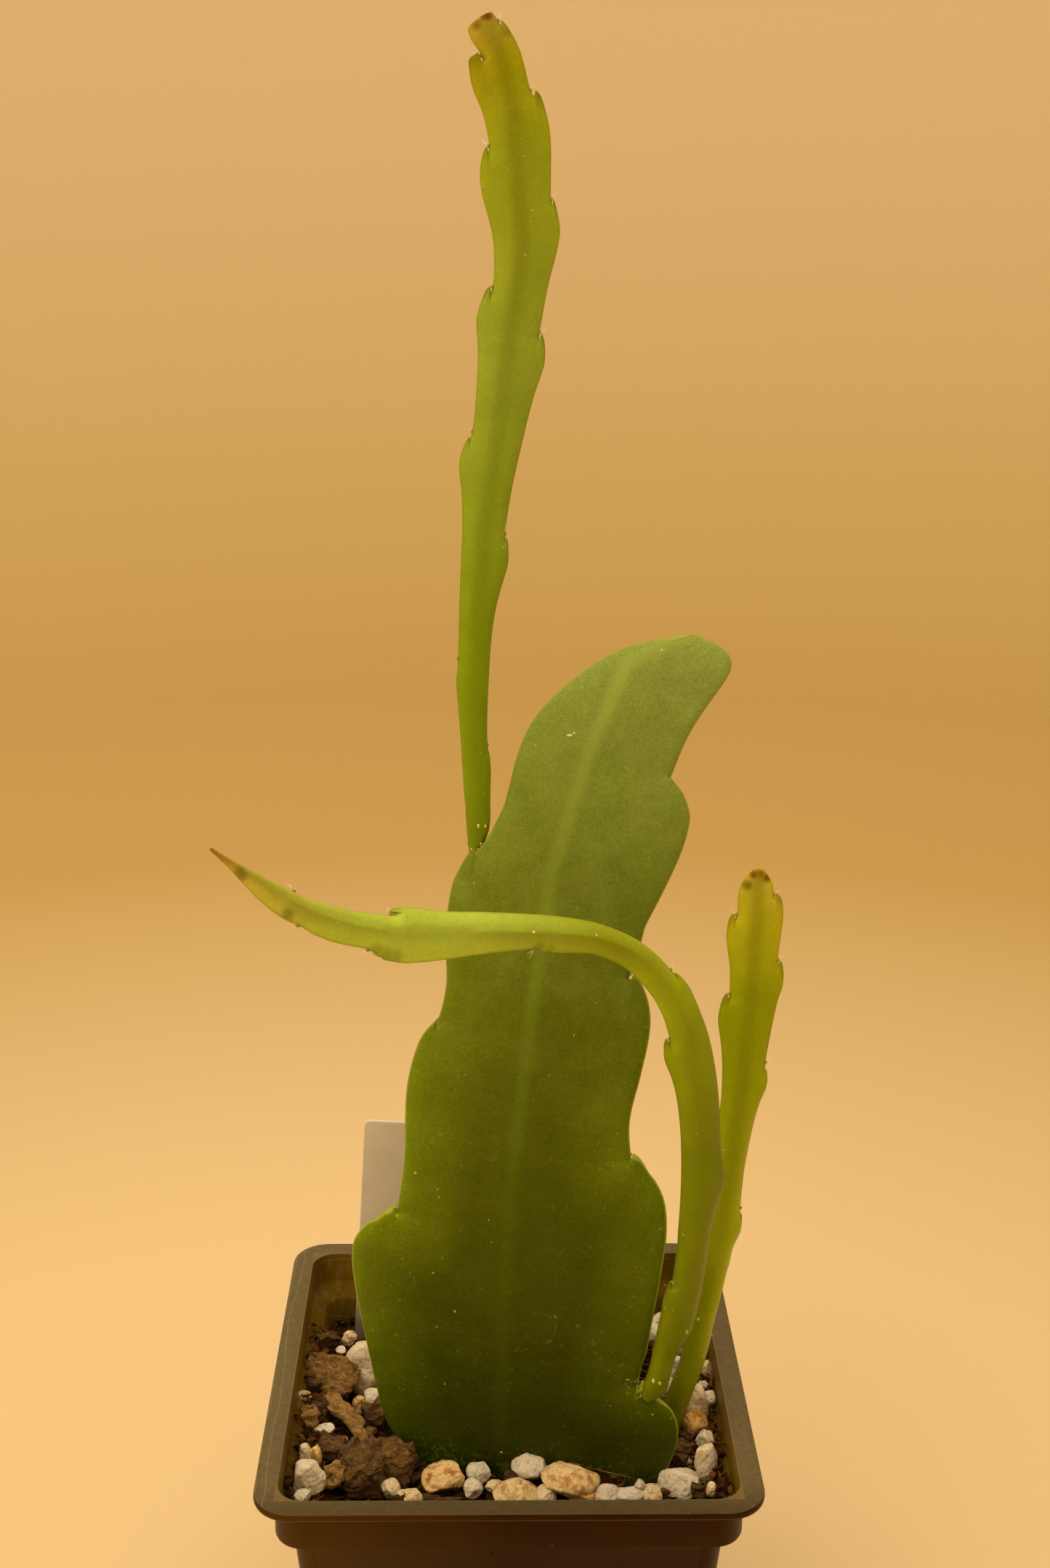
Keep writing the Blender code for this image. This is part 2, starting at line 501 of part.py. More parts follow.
def potting_mix():
    """The mix fills the pot below its uneven surface: a grid whose outline is drawn down the inner wall."""
    work = bmesh.new()
    bmesh.ops.create_grid(work, x_segments=MIX_CELLS, y_segments=MIX_CELLS, size=1.0)
    surface = list(work.verts)
    outline = [edge for edge in work.edges if edge.is_boundary]
    sides = []
    for _ in range(MIX_SIDE_RINGS):
        made = bmesh.ops.extrude_edge_only(work, edges=outline)["geom"]
        outline = [item for item in made if isinstance(item, bmesh.types.BMEdge) and item.is_boundary]
        sides.append({vert for edge in outline for vert in edge.verts})
    bmesh.ops.holes_fill(work, edges=outline, sides=0)

    half = wall_half(MIX_TOP) - SOCKET
    for vert in surface:
        x, y = into_corner(vert.co.x * half, vert.co.y * half, half, STEP_CORNER - WALL)
        vert.co = Vector((x, y, mix_height(x, y) + heap(x, y))) * MM
    bottom = FLOOR + SOCKET
    levels = [*np.linspace(MIX_TOP - MIX_SHOULDER, bottom + WALL, MIX_SIDE_RINGS - 1), bottom]
    for level, ring in zip(levels, sides):
        half = wall_half(level) - SOCKET - (WALL if level == bottom else 0)
        for vert in ring:
            x, y = into_corner(vert.co.x * half, vert.co.y * half, half, FOOT_CORNER - WALL)
            vert.co = Vector((x, y, level)) * MM
    bmesh.ops.recalc_face_normals(work, faces=work.faces)
    return mesh_object("potting_mix", work)


def settle(work, name, place, turn, collection):
    """Turns a grain about its upright axis and puts it in its place."""
    bmesh.ops.rotate(work, verts=work.verts, matrix=Matrix.Rotation(math.radians(turn), 3, "Z"))
    bmesh.ops.translate(work, verts=work.verts, vec=Vector(place))
    bmesh.ops.scale(work, verts=work.verts, vec=Vector((MM, MM, MM)))
    return mesh_object(name, work, collection)


def stone(place, size, turn, seed, subdivisions, collection, grow):
    """One rounded grain of pumice."""
    work = bmesh.new()
    bmesh.ops.create_icosphere(work, subdivisions=subdivisions, radius=1.0)
    for vert in work.verts:
        lumps = [depth * noise.noise(vert.co * many + SEED_SHIFT * seed) for many, depth in STONE_LUMPS]
        out = vert.co.normalized()
        vert.co = Vector([vert.co[k] * (1 + sum(lumps)) * size[k] / 2 for k in range(3)]) + out * grow
    return settle(work, f"stone_{seed}", place, turn, collection)


def chunk(place, size, turn, seed, subdivisions, collection, grow):
    """One rough block of bark, flat on top and broken at its ends."""
    work = bmesh.new()
    bmesh.ops.create_cube(work, size=2.0)
    bmesh.ops.subdivide_edges(work, edges=work.edges, cuts=subdivisions, use_grid_fill=True)
    for vert in work.verts:
        out = vert.co.normalized()
        soft = vert.co.lerp(out * BARK_BALL, BARK_SOFTNESS)
        torn = 1 + BARK_TORN * noise.noise(vert.co * BARK_TEARS + SEED_SHIFT * seed)
        vert.co = Vector([soft[k] * torn * size[k] / 2 for k in range(3)]) + out * grow
    return settle(work, f"chunk_{seed}", place, turn, collection)


def chain(name, grains, make, subdivisions, seed, grow=0.0):
    """Grains that lie in a row and touch, joined to one body by the small ones between each two."""
    group = bpy.data.collections.new(name + "_grains")
    bpy.context.scene.collection.children.link(group)
    for number, (x, y, length, width, height, turn, lift) in enumerate(grains):
        place = (x, y, mix_height(x, y) + lift)
        make(place, (length, width, height), turn, seed + number, subdivisions, group, grow)
    body = group.objects[0]
    for number, (before, after) in enumerate(zip(grains, grains[1:])):
        start, end = Vector(before[:2]), Vector(after[:2])
        middle, apart = (start + end) / 2, end - start
        place = (*middle, mix_height(*middle) + LINK_RISE)
        size = (apart.length + LINK_REACH, LINK_WIDTH, LINK_HEIGHT)
        turn = math.degrees(math.atan2(apart.y, apart.x))
        make(place, size, turn, seed + LINK_SEED + number, 1, group, grow)
    group.objects.unlink(body)
    parts.objects.link(body)
    body.name = name
    union = body.modifiers.new("join", "BOOLEAN")
    union.operation = "UNION"
    union.operand_type = "COLLECTION"
    union.collection = group
    union.solver = "EXACT"
    apply_modifiers(body)
    for grain in list(group.objects):
        bpy.data.objects.remove(grain)
    bpy.data.collections.remove(group)
    return body


def apply_modifiers(piece):
    graph = bpy.context.evaluated_depsgraph_get()
    whole = bpy.data.meshes.new_from_object(piece.evaluated_get(graph))
    piece.modifiers.clear()
    piece.data = whole


def cut(piece, cutter):
    """Takes the cutter's shape out of a piece and puts the cutter away."""
    for collection in cutter.users_collection:
        collection.objects.unlink(cutter)
    cutters.objects.link(cutter)
    cutter.hide_render = True
    cutter.display_type = "WIRE"
    boolean = piece.modifiers.new("cut_" + cutter.name, "BOOLEAN")
    boolean.operation = "DIFFERENCE"
    boolean.object = cutter
    boolean.solver = "EXACT"


def label_strip(name, grow=0.0):
    """A flat strip with round upper corners and a pointed lower end, as one flat outline."""
    half, corner, foot = LABEL_WIDTH / 2 + grow, LABEL_CORNER + grow, LABEL_LENGTH + grow
    outline = [(0, -foot), (half, LABEL_POINT - foot)]
    for side, first in ((1, 0), (-1, 90)):
        for step in range(CORNER_STEPS + 1):
            angle = math.radians(first + 90 * step / CORNER_STEPS)
            across = side * (half - corner) + corner * math.cos(angle)
            outline.append((across, grow + corner * (math.sin(angle) - 1)))
    outline.append((-half, LABEL_POINT - foot))
    flat = bpy.data.curves.new(name, "CURVE")
    flat.dimensions = "2D"
    flat.fill_mode = "BOTH"
    flat.extrude = (LABEL_THICK / 2 + grow) * MM
    spline = flat.splines.new("POLY")
    spline.points.add(len(outline) - 1)
    for point, (x, y) in zip(spline.points, outline):
        point.co = (x * MM, y * MM, 0, 1)
    spline.use_cyclic_u = True
    strip = bpy.data.objects.new(name, flat)
    parts.objects.link(strip)
    stood_up = Matrix.Rotation(LABEL_LEAN, 4, "Y") @ Matrix.Rotation(math.pi / 2, 4, "X")
    strip.matrix_world = Matrix.Translation(Vector(LABEL_TOP) * MM) @ stood_up
    return strip


def label_slot():
    """The label's outline a little larger all round, as a mesh that can cut."""
    strip = label_strip("label_outline", SOCKET)
    mesh = bpy.data.meshes.new_from_object(strip.evaluated_get(bpy.context.evaluated_depsgraph_get()))
    work = bmesh.new()
    work.from_mesh(mesh)
    bmesh.ops.remove_doubles(work, verts=work.verts, dist=GAP * MM / 100)
    slot = mesh_object("label_slot", work)
    slot.matrix_world = strip.matrix_world
    bpy.data.objects.remove(strip)
    return slot


def paint(piece, name, colour, roughness):
    material = bpy.data.materials.new(name)
    material.use_nodes = True
    shader = material.node_tree.nodes["Principled BSDF"]
    shader.inputs["Base Color"].default_value = (*colour, 1)
    shader.inputs["Roughness"].default_value = roughness
    shader.inputs["Metallic"].default_value = 0.0
    material.diffuse_color = (*colour, 1)
    piece.data.materials.clear()
    piece.data.materials.append(material)
    if piece.type == "MESH":
        piece.data.shade_smooth()
        piece.data.set_sharp_from_angle(angle=SHARP_ANGLE)


for old in list(bpy.data.objects):
    bpy.data.objects.remove(old)
parts = bpy.data.collections.new("orchid_cactus")
cutters = bpy.data.collections.new("cutters")
for folder in (parts, cutters):
    bpy.context.scene.collection.children.link(folder)
cutters.hide_render = True

paint(pot(), "black_plastic", PLASTIC_COLOUR, 0.5)
mix = potting_mix()
cut(mix, old_pad("pad_hole", SOCKET))
cut(mix, basal_shoot("basal_shoot_hole", SOCKET))
cut(mix, label_slot())
paint(mix, "dark_mix", MIX_COLOUR, 0.95)

pad = old_pad("old_pad")
cut(pad, tall_shoot("tall_shoot_socket", GAP))
cut(pad, arching_shoot("arching_shoot_socket", GAP))
paint(pad, "old_stem", OLD_STEM_COLOUR, 0.45)
paint(tall_shoot("tall_shoot"), "tall_stem", NEW_STEM_COLOUR, 0.4)
paint(arching_shoot("arching_shoot"), "arching_stem", NEW_STEM_COLOUR, 0.4)
paint(basal_shoot("basal_shoot"), "basal_stem", NEW_STEM_COLOUR, 0.4)
paint(label_strip("plant_label"), "label_plastic", LABEL_COLOUR, 0.5)

for name, (grains, seed) in STONES.items():
    paint(chain(name, grains, stone, 2, seed), name + "_stone", PUMICE_COLOUR, 0.9)
for name, (grains, seed) in BARK.items():
    neighbour = "pumice_left_front" if name == "bark_front" else "pumice_left_back"
    bark = chain(name, grains, chunk, 1, seed)
    stones, stone_seed = STONES[neighbour]
    cut(bark, chain(neighbour + "_hollow", stones, stone, 2, stone_seed, GAP))
    paint(bark, name + "_bark", BARK_COLOUR, 0.9)
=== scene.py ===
# %% [markdown]
# # An orchid cactus in its square pot
#
# One old flat stem carries two new shoots, and a third shoot rises beside it from the soil. The stems stand
# in dark potting mix, with pumice and bark on it, in a square black nursery pot. The solids come from the CAD
# model. This lesson dresses them: finer shapes over the solids, and a material for each finish.
#
# Each step starts with a cell that says what the piece is and how it is made. The short cells after it make it.

# %% The frame
import math

import bpy
import numpy as np
from mathutils import Matrix, Vector, noise
from mathutils.bvhtree import BVHTree
from mathutils.kdtree import KDTree


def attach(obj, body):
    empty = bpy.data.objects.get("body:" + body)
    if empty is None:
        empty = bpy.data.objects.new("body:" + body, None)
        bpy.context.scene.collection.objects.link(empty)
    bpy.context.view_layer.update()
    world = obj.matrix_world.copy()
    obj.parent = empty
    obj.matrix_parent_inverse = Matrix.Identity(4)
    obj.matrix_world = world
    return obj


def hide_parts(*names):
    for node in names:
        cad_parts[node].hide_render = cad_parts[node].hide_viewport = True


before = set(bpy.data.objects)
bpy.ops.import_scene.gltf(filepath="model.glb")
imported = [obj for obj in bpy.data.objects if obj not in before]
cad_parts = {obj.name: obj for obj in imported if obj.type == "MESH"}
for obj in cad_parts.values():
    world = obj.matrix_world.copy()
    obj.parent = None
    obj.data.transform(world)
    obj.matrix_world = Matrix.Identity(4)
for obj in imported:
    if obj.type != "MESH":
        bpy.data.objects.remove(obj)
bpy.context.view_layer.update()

MM = 0.001
print("CAD nodes:", ", ".join(sorted(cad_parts)))

# %% [markdown]
# ## Camera
#
# The photograph looks down on the pot from the front. The four corners of the pot's rim, which is a flat
# square of known size, fix where the camera stood, how it was turned and how long its lens was. Those numbers
# are used here as they came out of that fit. The picture is 1445 pixels wide and 2158 high.

# %% Camera
PICTURE = (1445, 2158)
SENSOR = 36  # millimetres along the picture's longer side
FOCAL_PIXELS = 2685.29
EYE = Vector((-4.516, -325.360, 301.777)) * MM
PITCH, YAW, ROLL = (math.radians(angle) for angle in (17.2509, -1.2096, 0.5194))

forward = Vector((-math.sin(YAW) * math.cos(PITCH), math.cos(YAW) * math.cos(PITCH), -math.sin(PITCH)))
level = Vector((math.cos(YAW), math.sin(YAW), 0))
upright = level.cross(forward)
to_right = level * math.cos(ROLL) + upright * math.sin(ROLL)
to_top = upright * math.cos(ROLL) - level * math.sin(ROLL)

bpy.ops.object.camera_add()
camera = bpy.context.object
camera.data.sensor_width = SENSOR
camera.data.lens = FOCAL_PIXELS / max(PICTURE) * SENSOR
camera.data.clip_start = 0.01
camera.matrix_world = Matrix.Translation(EYE) @ Matrix((to_right, to_top, -forward)).transposed().to_4x4()
bpy.context.scene.camera = camera
bpy.context.view_layer.update()
print(f"lens {camera.data.lens:.2f} mm")


def ray_through(x, y):
    """The direction from the camera through a pixel of the picture."""
    across, down = x - PICTURE[0] / 2, y - PICTURE[1] / 2
    return (forward * FOCAL_PIXELS + to_right * across - to_top * down).normalized()


# %% [markdown]
# ## Colour and node helpers
#
# Colours are written as sRGB hex digits, as a colour picker shows them, while a shader works in linear light.
# One function converts them. A second small function adds a node, sets it up and links it, so that each
# material below reads as a short list. Pattern sizes are given in millimetres, since a pattern that has its
# real size looks right from any distance.

# %% Colour and node helpers
def from_hex(digits):
    """A colour from sRGB hex digits, in linear light."""
    levels = [int(digits[k : k + 2], 16) / 255 for k in (0, 2, 4)]
    return (*(c / 12.92 if c <= 0.04045 else ((c + 0.055) / 1.055) ** 2.4 for c in levels), 1.0)


def plug(tree, node, inputs):
    """Sets a node's inputs, each to a value, a linked socket, or the first open socket of another node."""
    for name, value in inputs.items():
        if isinstance(value, bpy.types.Node):
            value = next(socket for socket in value.outputs if socket.enabled)
        if isinstance(value, bpy.types.NodeSocket):
            tree.links.new(value, node.inputs[name])
        else:
            node.inputs[name].default_value = value


def add(tree, kind, inputs=None, stops=(), **settings):
    """Adds a node with its settings and its inputs. Stops are a ramp's colours."""
    node = tree.nodes.new("ShaderNode" + kind)
    for name, value in settings.items():
        setattr(node, name, value)
    plug(tree, node, inputs or {})
    for number, (place, digits) in enumerate(stops):
        ramp = node.color_ramp.elements
        stop = ramp[number] if number < 2 else ramp.new(place)
        stop.position = place
        stop.color = from_hex(digits)
    return node


def per_mm(size):
    """The texture scale at which one feature is about this many millimetres wide."""
    return 1 / (size * MM)


def start_material(name):
    """An empty material with its shader, and the coordinates fixed to the piece."""
    material = bpy.data.materials.new(name)
    material.use_nodes = True
    tree = material.node_tree
    return material, tree, tree.nodes["Principled BSDF"], add(tree, "TexCoord").outputs["Object"]


print("mid grey in linear light:", round(from_hex("808080")[0], 3))

# %% [markdown]
# ## Floor and light
#
# The photograph was taken in a small light tent. Here a shallow round bowl serves as floor and backdrop at
# once: flat in the middle, with a wide soft bend up to its wall, so that no edge shows from any side. A large
# soft light hangs over it, a weak one fills in from the front left, and the sky gives the rest. The paper is
# painted with the tent's shade: pale near the pot, darker and warmer halfway out and pale again up the wall.

# %% Floor
BOWL_FLOOR, BOWL_BEND, BOWL_WALL = 0.85, 0.45, 0.9  # radius of the floor and of the bend, height of the wall
BEND_STEPS = 12

bpy.ops.mesh.primitive_circle_add(vertices=96, radius=BOWL_FLOOR, fill_type="NGON")
bowl = bpy.context.object
bowl.name = "backdrop"
bpy.ops.object.mode_set(mode="EDIT")
bpy.ops.mesh.select_mode(type="FACE")
bpy.ops.mesh.inset(thickness=0.001)
bpy.ops.mesh.select_all(action="INVERT")
bpy.ops.mesh.select_mode(type="EDGE")
bpy.ops.mesh.select_all(action="SELECT")
bpy.ops.mesh.region_to_loop()
radius, height = BOWL_FLOOR, 0.0
for step in range(1, BEND_STEPS + 2):
    angle = math.radians(min(step, BEND_STEPS) * 90 / BEND_STEPS)
    next_radius = BOWL_FLOOR + BOWL_BEND * math.sin(angle)
    next_height = BOWL_BEND * (1 - math.cos(angle)) + (BOWL_WALL if step > BEND_STEPS else 0)
    bpy.ops.mesh.extrude_edges_move(TRANSFORM_OT_translate={"value": (0, 0, next_height - height)})
    bpy.ops.transform.resize(value=(next_radius / radius, next_radius / radius, 1))
    radius, height = next_radius, next_height
bpy.ops.object.mode_set(mode="OBJECT")
bpy.ops.object.shade_smooth()
print(f"bowl {2 * radius:.2f} m across, {height:.2f} m high")

# %% Paper of the floor
paper, tree, shader, place = start_material("matt_background_paper")
flat = add(tree, "VectorMath", {0: place, 1: (1.0, 1.0, 0.0)}, operation="MULTIPLY")
out_from_middle = add(tree, "VectorMath", {0: flat}, operation="LENGTH")
climb = add(tree, "SeparateXYZ", {0: place}).outputs["Z"]
way_up = add(tree, "Math", {0: out_from_middle, 1: climb}, operation="ADD")
tent_shade = add(tree, "MapRange", {"Value": way_up, "From Max": 2.0})
# painted shade of the light tent: darker and warmer halfway out, pale near the pot and up the wall
colour = add(tree, "ValToRGB", {"Fac": tent_shade},
             [(0.1, "DFCAA2"), (0.18, "CFBB91"), (0.27, "C2A76C"), (0.46, "C7AE73"), (0.6, "CFB984"),
              (0.75, "DDC8A1"), (0.86, "E5D6B4")])
plug(tree, shader, {"Base Color": colour, "Roughness": 0.9, "Specular IOR Level": 0.1})
bowl.data.materials.append(paper)
print("on the stage:", bowl.name)

# %% Light
sky = bpy.data.worlds.new("tent_light")
sky.use_nodes = True
plug(sky.node_tree, sky.node_tree.nodes["Background"], {"Color": from_hex("FFE9C9"), "Strength": 0.5})
bpy.context.scene.world = sky
bpy.context.scene.view_settings.view_transform = "Standard"

AIM = Vector((0, 0, 0.15))  # the middle of the plant, which both lamps face
for name, spot, width, power in (
    ("overhead", (-0.1, 0.05, 1.15), 1.3, 11.5),
    ("left_fill", (-0.65, -0.85, 0.6), 0.9, 5.0),
):
    bpy.ops.object.light_add(type="AREA", location=spot)
    lamp = bpy.context.object
    lamp.name = name
    lamp.data.size = width
    lamp.data.energy = power
    lamp.data.color = from_hex("FFE6BE")[:3]
    lamp.rotation_euler = (AIM - Vector(spot)).to_track_quat("-Z", "Y").to_euler()

# %% [markdown]
# ## Helpers for the pieces
#
# Every finished piece gets its material, rides on the pot's body and stands for its CAD node. Things that
# repeat, such as grains of soil, are modelled once and copied with numpy, which is far quicker than a
# thousand objects. Each copy keeps a number of its own, its tone, that a material reads to vary the colour.

# %% Helpers for the pieces
def finish_piece(piece, material, slot, *nodes):
    """Gives a finished piece its material and its place in the model."""
    piece.data.materials.clear()
    piece.data.materials.append(material)
    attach(piece, "root")
    if nodes:
        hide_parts(*nodes)
    triangles = sum(len(face.vertices) - 2 for face in piece.data.polygons)
    print(f"{piece.name}: {triangles} triangles")


def corners(piece):
    """The places of a mesh's points, as an array in metres."""
    flat = np.empty(len(piece.data.vertices) * 3)
    piece.data.vertices.foreach_get("co", flat)
    return flat.reshape(-1, 3)


def normals(piece):
    """The directions that a mesh's points face."""
    flat = np.empty(len(piece.data.vertices) * 3)
    piece.data.vertex_normals.foreach_get("vector", flat)
    return flat.reshape(-1, 3)


def reshape(piece, places):
    """Moves a mesh's points to new places."""
    piece.data.vertices.foreach_set("co", np.ravel(places))
    piece.data.update()


def keep_number(piece, name, values):
    """Keeps one number on each point of a mesh, for its material."""
    layer = piece.data.attributes.get(name) or piece.data.attributes.new(name, "FLOAT", "POINT")
    layer.data.foreach_set("value", np.asarray(values, np.float32))


def take_shape(piece):
    """The points and faces of a modelled piece, which is then put away."""
    shape = corners(piece), [tuple(face.vertices) for face in piece.data.polygons]
    bpy.data.objects.remove(piece)
    return shape


def one_piece(name, copies):
    """One mesh from many shapes. Each copy is its points, its faces and its tone."""
    points, faces, tones = [], [], []
    start = 0
    for places, polygons, tone in copies:
        points.append(places)
        faces.extend(tuple(corner + start for corner in face) for face in polygons)
        tones.append(np.full(len(places), tone))
        start += len(places)
    mesh = bpy.data.meshes.new(name)
    mesh.from_pydata(np.concatenate(points).tolist(), [], faces)
    mesh.shade_smooth()
    piece = bpy.data.objects.new(name, mesh)
    bpy.context.scene.collection.objects.link(piece)
    keep_number(piece, "tone", np.concatenate(tones))
    return piece


def rumple(places, size, seed):
    """Smooth noise from -1 to 1 at each place, with features of the given size."""
    shift = Vector((7.3, 3.1, 5.7)) * seed
    return np.array([noise.noise(Vector(place) / size + shift) for place in places])


def select_only(piece):
    """Deselects everything else and makes a piece active, ready for an operator."""
    bpy.ops.object.select_all(action="DESELECT")
    piece.select_set(True)
    bpy.context.view_layer.objects.active = piece


print("helpers ready")

# %% [markdown]
# ## The stems' shapes
#
# An orchid cactus has no leaves. Its flat stems are green, with scalloped margins and a thicker midrib. The
# CAD stems have the outline already, in flat facets. A copy of each is merged to one skin, its margins are
# creased so that they stay crisp, and a Subdivision Surface rounds the rest. Then each point is measured
# against the stem's own spine: how far along it lies, how far from the midrib and how far from the margin.
# The skin's material paints by these numbers, and by a fourth, tip, which says how brown a point is.

# %% The stems' lines
SPINES = {  # points on the midrib, in millimetres
    "old_pad": [
        (-0.9, -12.6, 57), (-0.5, -11.9, 98), (0.7, -9.6, 128.9), (4.0, -6.9, 158.7), (7.3, -2.9, 184.3),
        (12.7, 1.0, 202.6), (20.1, 6.1, 220.5), (28.7, 6.2, 225.1),
    ],
    "tall_shoot": [
        (-6.6, 1.3, 187.4), (-6.1, 1.8, 198.5), (-6.7, 2.6, 214.5), (-6.0, 3.5, 232), (-4.7, 4.2, 246),
        (-2.6, 5.0, 261), (-0.8, 5.4, 276), (1.2, 5.8, 290.5), (0.2, 5.9, 303.5), (-0.4, 6.0, 313),
        (-2.9, 6.0, 321.5), (-5.0, 6.0, 327.1),
    ],
    "arching_shoot": [
        (24.7, -17.9, 90.4), (28.6, -18.9, 102), (32.0, -20.2, 120.5), (33.0, -21.4, 135),
        (31.9, -23.4, 153), (28.6, -26.5, 167), (21.6, -30.4, 179.8), (12, -35, 186), (-4.3, -42, 189.5),
        (-18.7, -48, 191.7), (-31.3, -53, 197.1), (-40.3, -57, 205.2), (-44.6, -59.2, 209.6),
    ],
    "basal_shoot": [
        (28.4, -6.6, 62), (31.2, -7, 74.4), (34.2, -7.5, 89.1), (37.9, -8.5, 108.4), (39.8, -9.5, 130.6),
        (41.5, -9, 149.2), (42.5, -7.2, 168), (43.1, -5.5, 181), (43.2, -5, 186.6),
    ],
}
SIDEWAYS = {  # from the left margin to the right one: distance along the stem, direction
    "old_pad": [(0, (0.978, -0.208, 0))],
    "tall_shoot": [(0, (1, 0, 0))],
    "arching_shoot": [
        (0, (1, 0, 0)), (60, (1, 0, 0)), (85, (0.65, 0.12, 0.33)), (105, (0, 0.36, 0.93)),
        (160, (0, 0.59, 0.77)), (174, (0, 0.75, 0.66)),
    ],
    "basal_shoot": [(0, (1, 0, 0))],
}
print("points on each spine:", {name: len(points) for name, points in SPINES.items()})

# %% The stems' skins
MERGE = 0.005 * MM  # points of a CAD mesh that are closer than this are one
SKIN_LEVELS = 3
EDGE_ON = 0.35  # on the margin, less than this share of a point's normal is across the blade


def skin_over(node):
    """A finer copy of a CAD stem: one merged skin with creased margins, subdivided."""
    skin = bpy.data.objects.new(node + "_skin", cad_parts[node].data.copy())
    bpy.context.scene.collection.objects.link(skin)
    select_only(skin)
    bpy.ops.object.mode_set(mode="EDIT")
    bpy.ops.mesh.select_all(action="SELECT")
    bpy.ops.mesh.remove_doubles(threshold=MERGE)
    bpy.ops.mesh.tris_convert_to_quads(face_threshold=math.radians(60), shape_threshold=math.radians(60))
    bpy.ops.mesh.select_all(action="DESELECT")
    bpy.ops.mesh.select_mode(type="EDGE")
    bpy.ops.mesh.edges_select_sharp(sharpness=math.radians(50))
    bpy.ops.transform.edge_crease(value=0.6)
    bpy.ops.object.mode_set(mode="OBJECT")
    smooth = skin.modifiers.new("smooth", "SUBSURF")
    smooth.levels = smooth.render_levels = SKIN_LEVELS
    bpy.ops.object.modifier_apply(modifier="smooth")
    bpy.ops.object.shade_smooth()
    return skin


def measure_stem(skin, node):
    """Measures each point of a skin against the stem's spine, in millimetres."""
    places = corners(skin) / MM
    line = np.array(SPINES[node], float)
    lengths = np.linalg.norm(np.diff(line, axis=0), axis=1)
    starts = np.concatenate([[0], np.cumsum(lengths)])
    nearest = np.full(len(places), np.inf)
    along, offset, onward = np.zeros(len(places)), np.zeros_like(places), np.zeros_like(places)
    for start, end, length, before in zip(line, line[1:], lengths, starts):
        way = (end - start) / length
        there = np.clip((places - start) @ way, 0, length)
        away = places - start - there[:, None] * way
        closer = np.linalg.norm(away, axis=1) < nearest
        nearest[closer] = np.linalg.norm(away, axis=1)[closer]
        along[closer] = before + there[closer]
        offset[closer], onward[closer] = away[closer], way
    table = SIDEWAYS[node]
    sideways = np.stack(
        [np.interp(along, [row[0] for row in table], [row[1][k] for row in table]) for k in range(3)], axis=1
    )
    sideways -= onward * np.sum(sideways * onward, axis=1)[:, None]
    sideways /= np.linalg.norm(sideways, axis=1)[:, None]
    facing = np.cross(sideways, onward)
    across = np.sum(offset * sideways, axis=1)
    on_margin = np.abs(np.sum(normals(skin) * facing, axis=1)) < EDGE_ON
    tree = KDTree(int(on_margin.sum()))
    for number, place in enumerate(places[on_margin]):
        tree.insert(place, number)
    tree.balance()
    edge = np.array([tree.find(place)[2] for place in places])
    for name, values in (("along", along), ("across", across), ("edge", edge), ("tip", 0 * edge)):
        keep_number(skin, name, values)
    return {
        "places": places, "along": along, "across": across, "offset": offset, "onward": onward,
        "sideways": sideways, "facing": facing, "on_margin": on_margin, "length": starts[-1],
    }


skins, measures = {}, {}
for node in SPINES:
    skins[node] = skin_over(node)
    measures[node] = measure_stem(skins[node], node)
    print(f"{node}: {measures[node]['length']:.0f} mm long, {len(measures[node]['along'])} points")

# %% [markdown]
# ## Hooked lobes
#
# Below each notch the margin ends in a small hook, where the cactus keeps its areole, the cushion that its
# hairs grow from. The CAD margin has the notch but no hook. As in a sculpting brush with a soft edge, the
# points just below a notch are pulled along the stem, less so the further they are from it. The arching shoot
# also starts as a round bulb, so its lowest points are spread to that width, and it is drawn out to a point.
# Two more pulls set that shoot's foot and the tall shoot's end where the picture has them.

# %% Notches
NOTCHES = {  # distance along the stem from its base in millimetres: left margin, right margin
    "old_pad": ((62.3, 98.3, 128.4), (33.4, 79.6, 112.4)),
    "tall_shoot": ((33.8, 72, 95.9, 119, 133.6), (18.4, 55.8, 89.8, 110.2, 126.4, 137.6)),
    "arching_shoot": ((23.2, 75.2, 114.6, 142, 153.6), (50.2, 88.0, 139.2, 156)),
    "basal_shoot": ((102.2, 116.6), (60.8, 89.8, 108.8, 120.4)),
}
LOBES = {  # the same as rows of side, -1 for left or 1 for right, and distance
    node: [(side, along) for side, alongs in zip((-1, 1), margins) for along in alongs]
    for node, margins in NOTCHES.items()
}
print("lobes:", {node: len(lobes) for node, lobes in LOBES.items()})


# %% Sculpting brushes
def soft_step(values, low, high):
    """A share that rises from 0 at low to 1 at high with soft ends."""
    share = np.clip((values - low) / (high - low), 0, 1)
    return share * share * (3 - 2 * share)


def margin_width(measure, along, side):
    """How far the margin is from the midrib at a distance along the stem."""
    near = measure["on_margin"] & (measure["across"] * side > 0) & (np.abs(measure["along"] - along) < 0.7)
    return np.abs(measure["across"][near]).max()


def pull(node, middle, radius, move):
    """Pulls the points near a place along with it, as a sculpting brush does, all in millimetres."""
    places = corners(skins[node]) / MM
    near = 1 - soft_step(np.linalg.norm(places - middle, axis=1), 0.2 * radius, radius)
    reshape(skins[node], (places + near[:, None] * move) * MM)


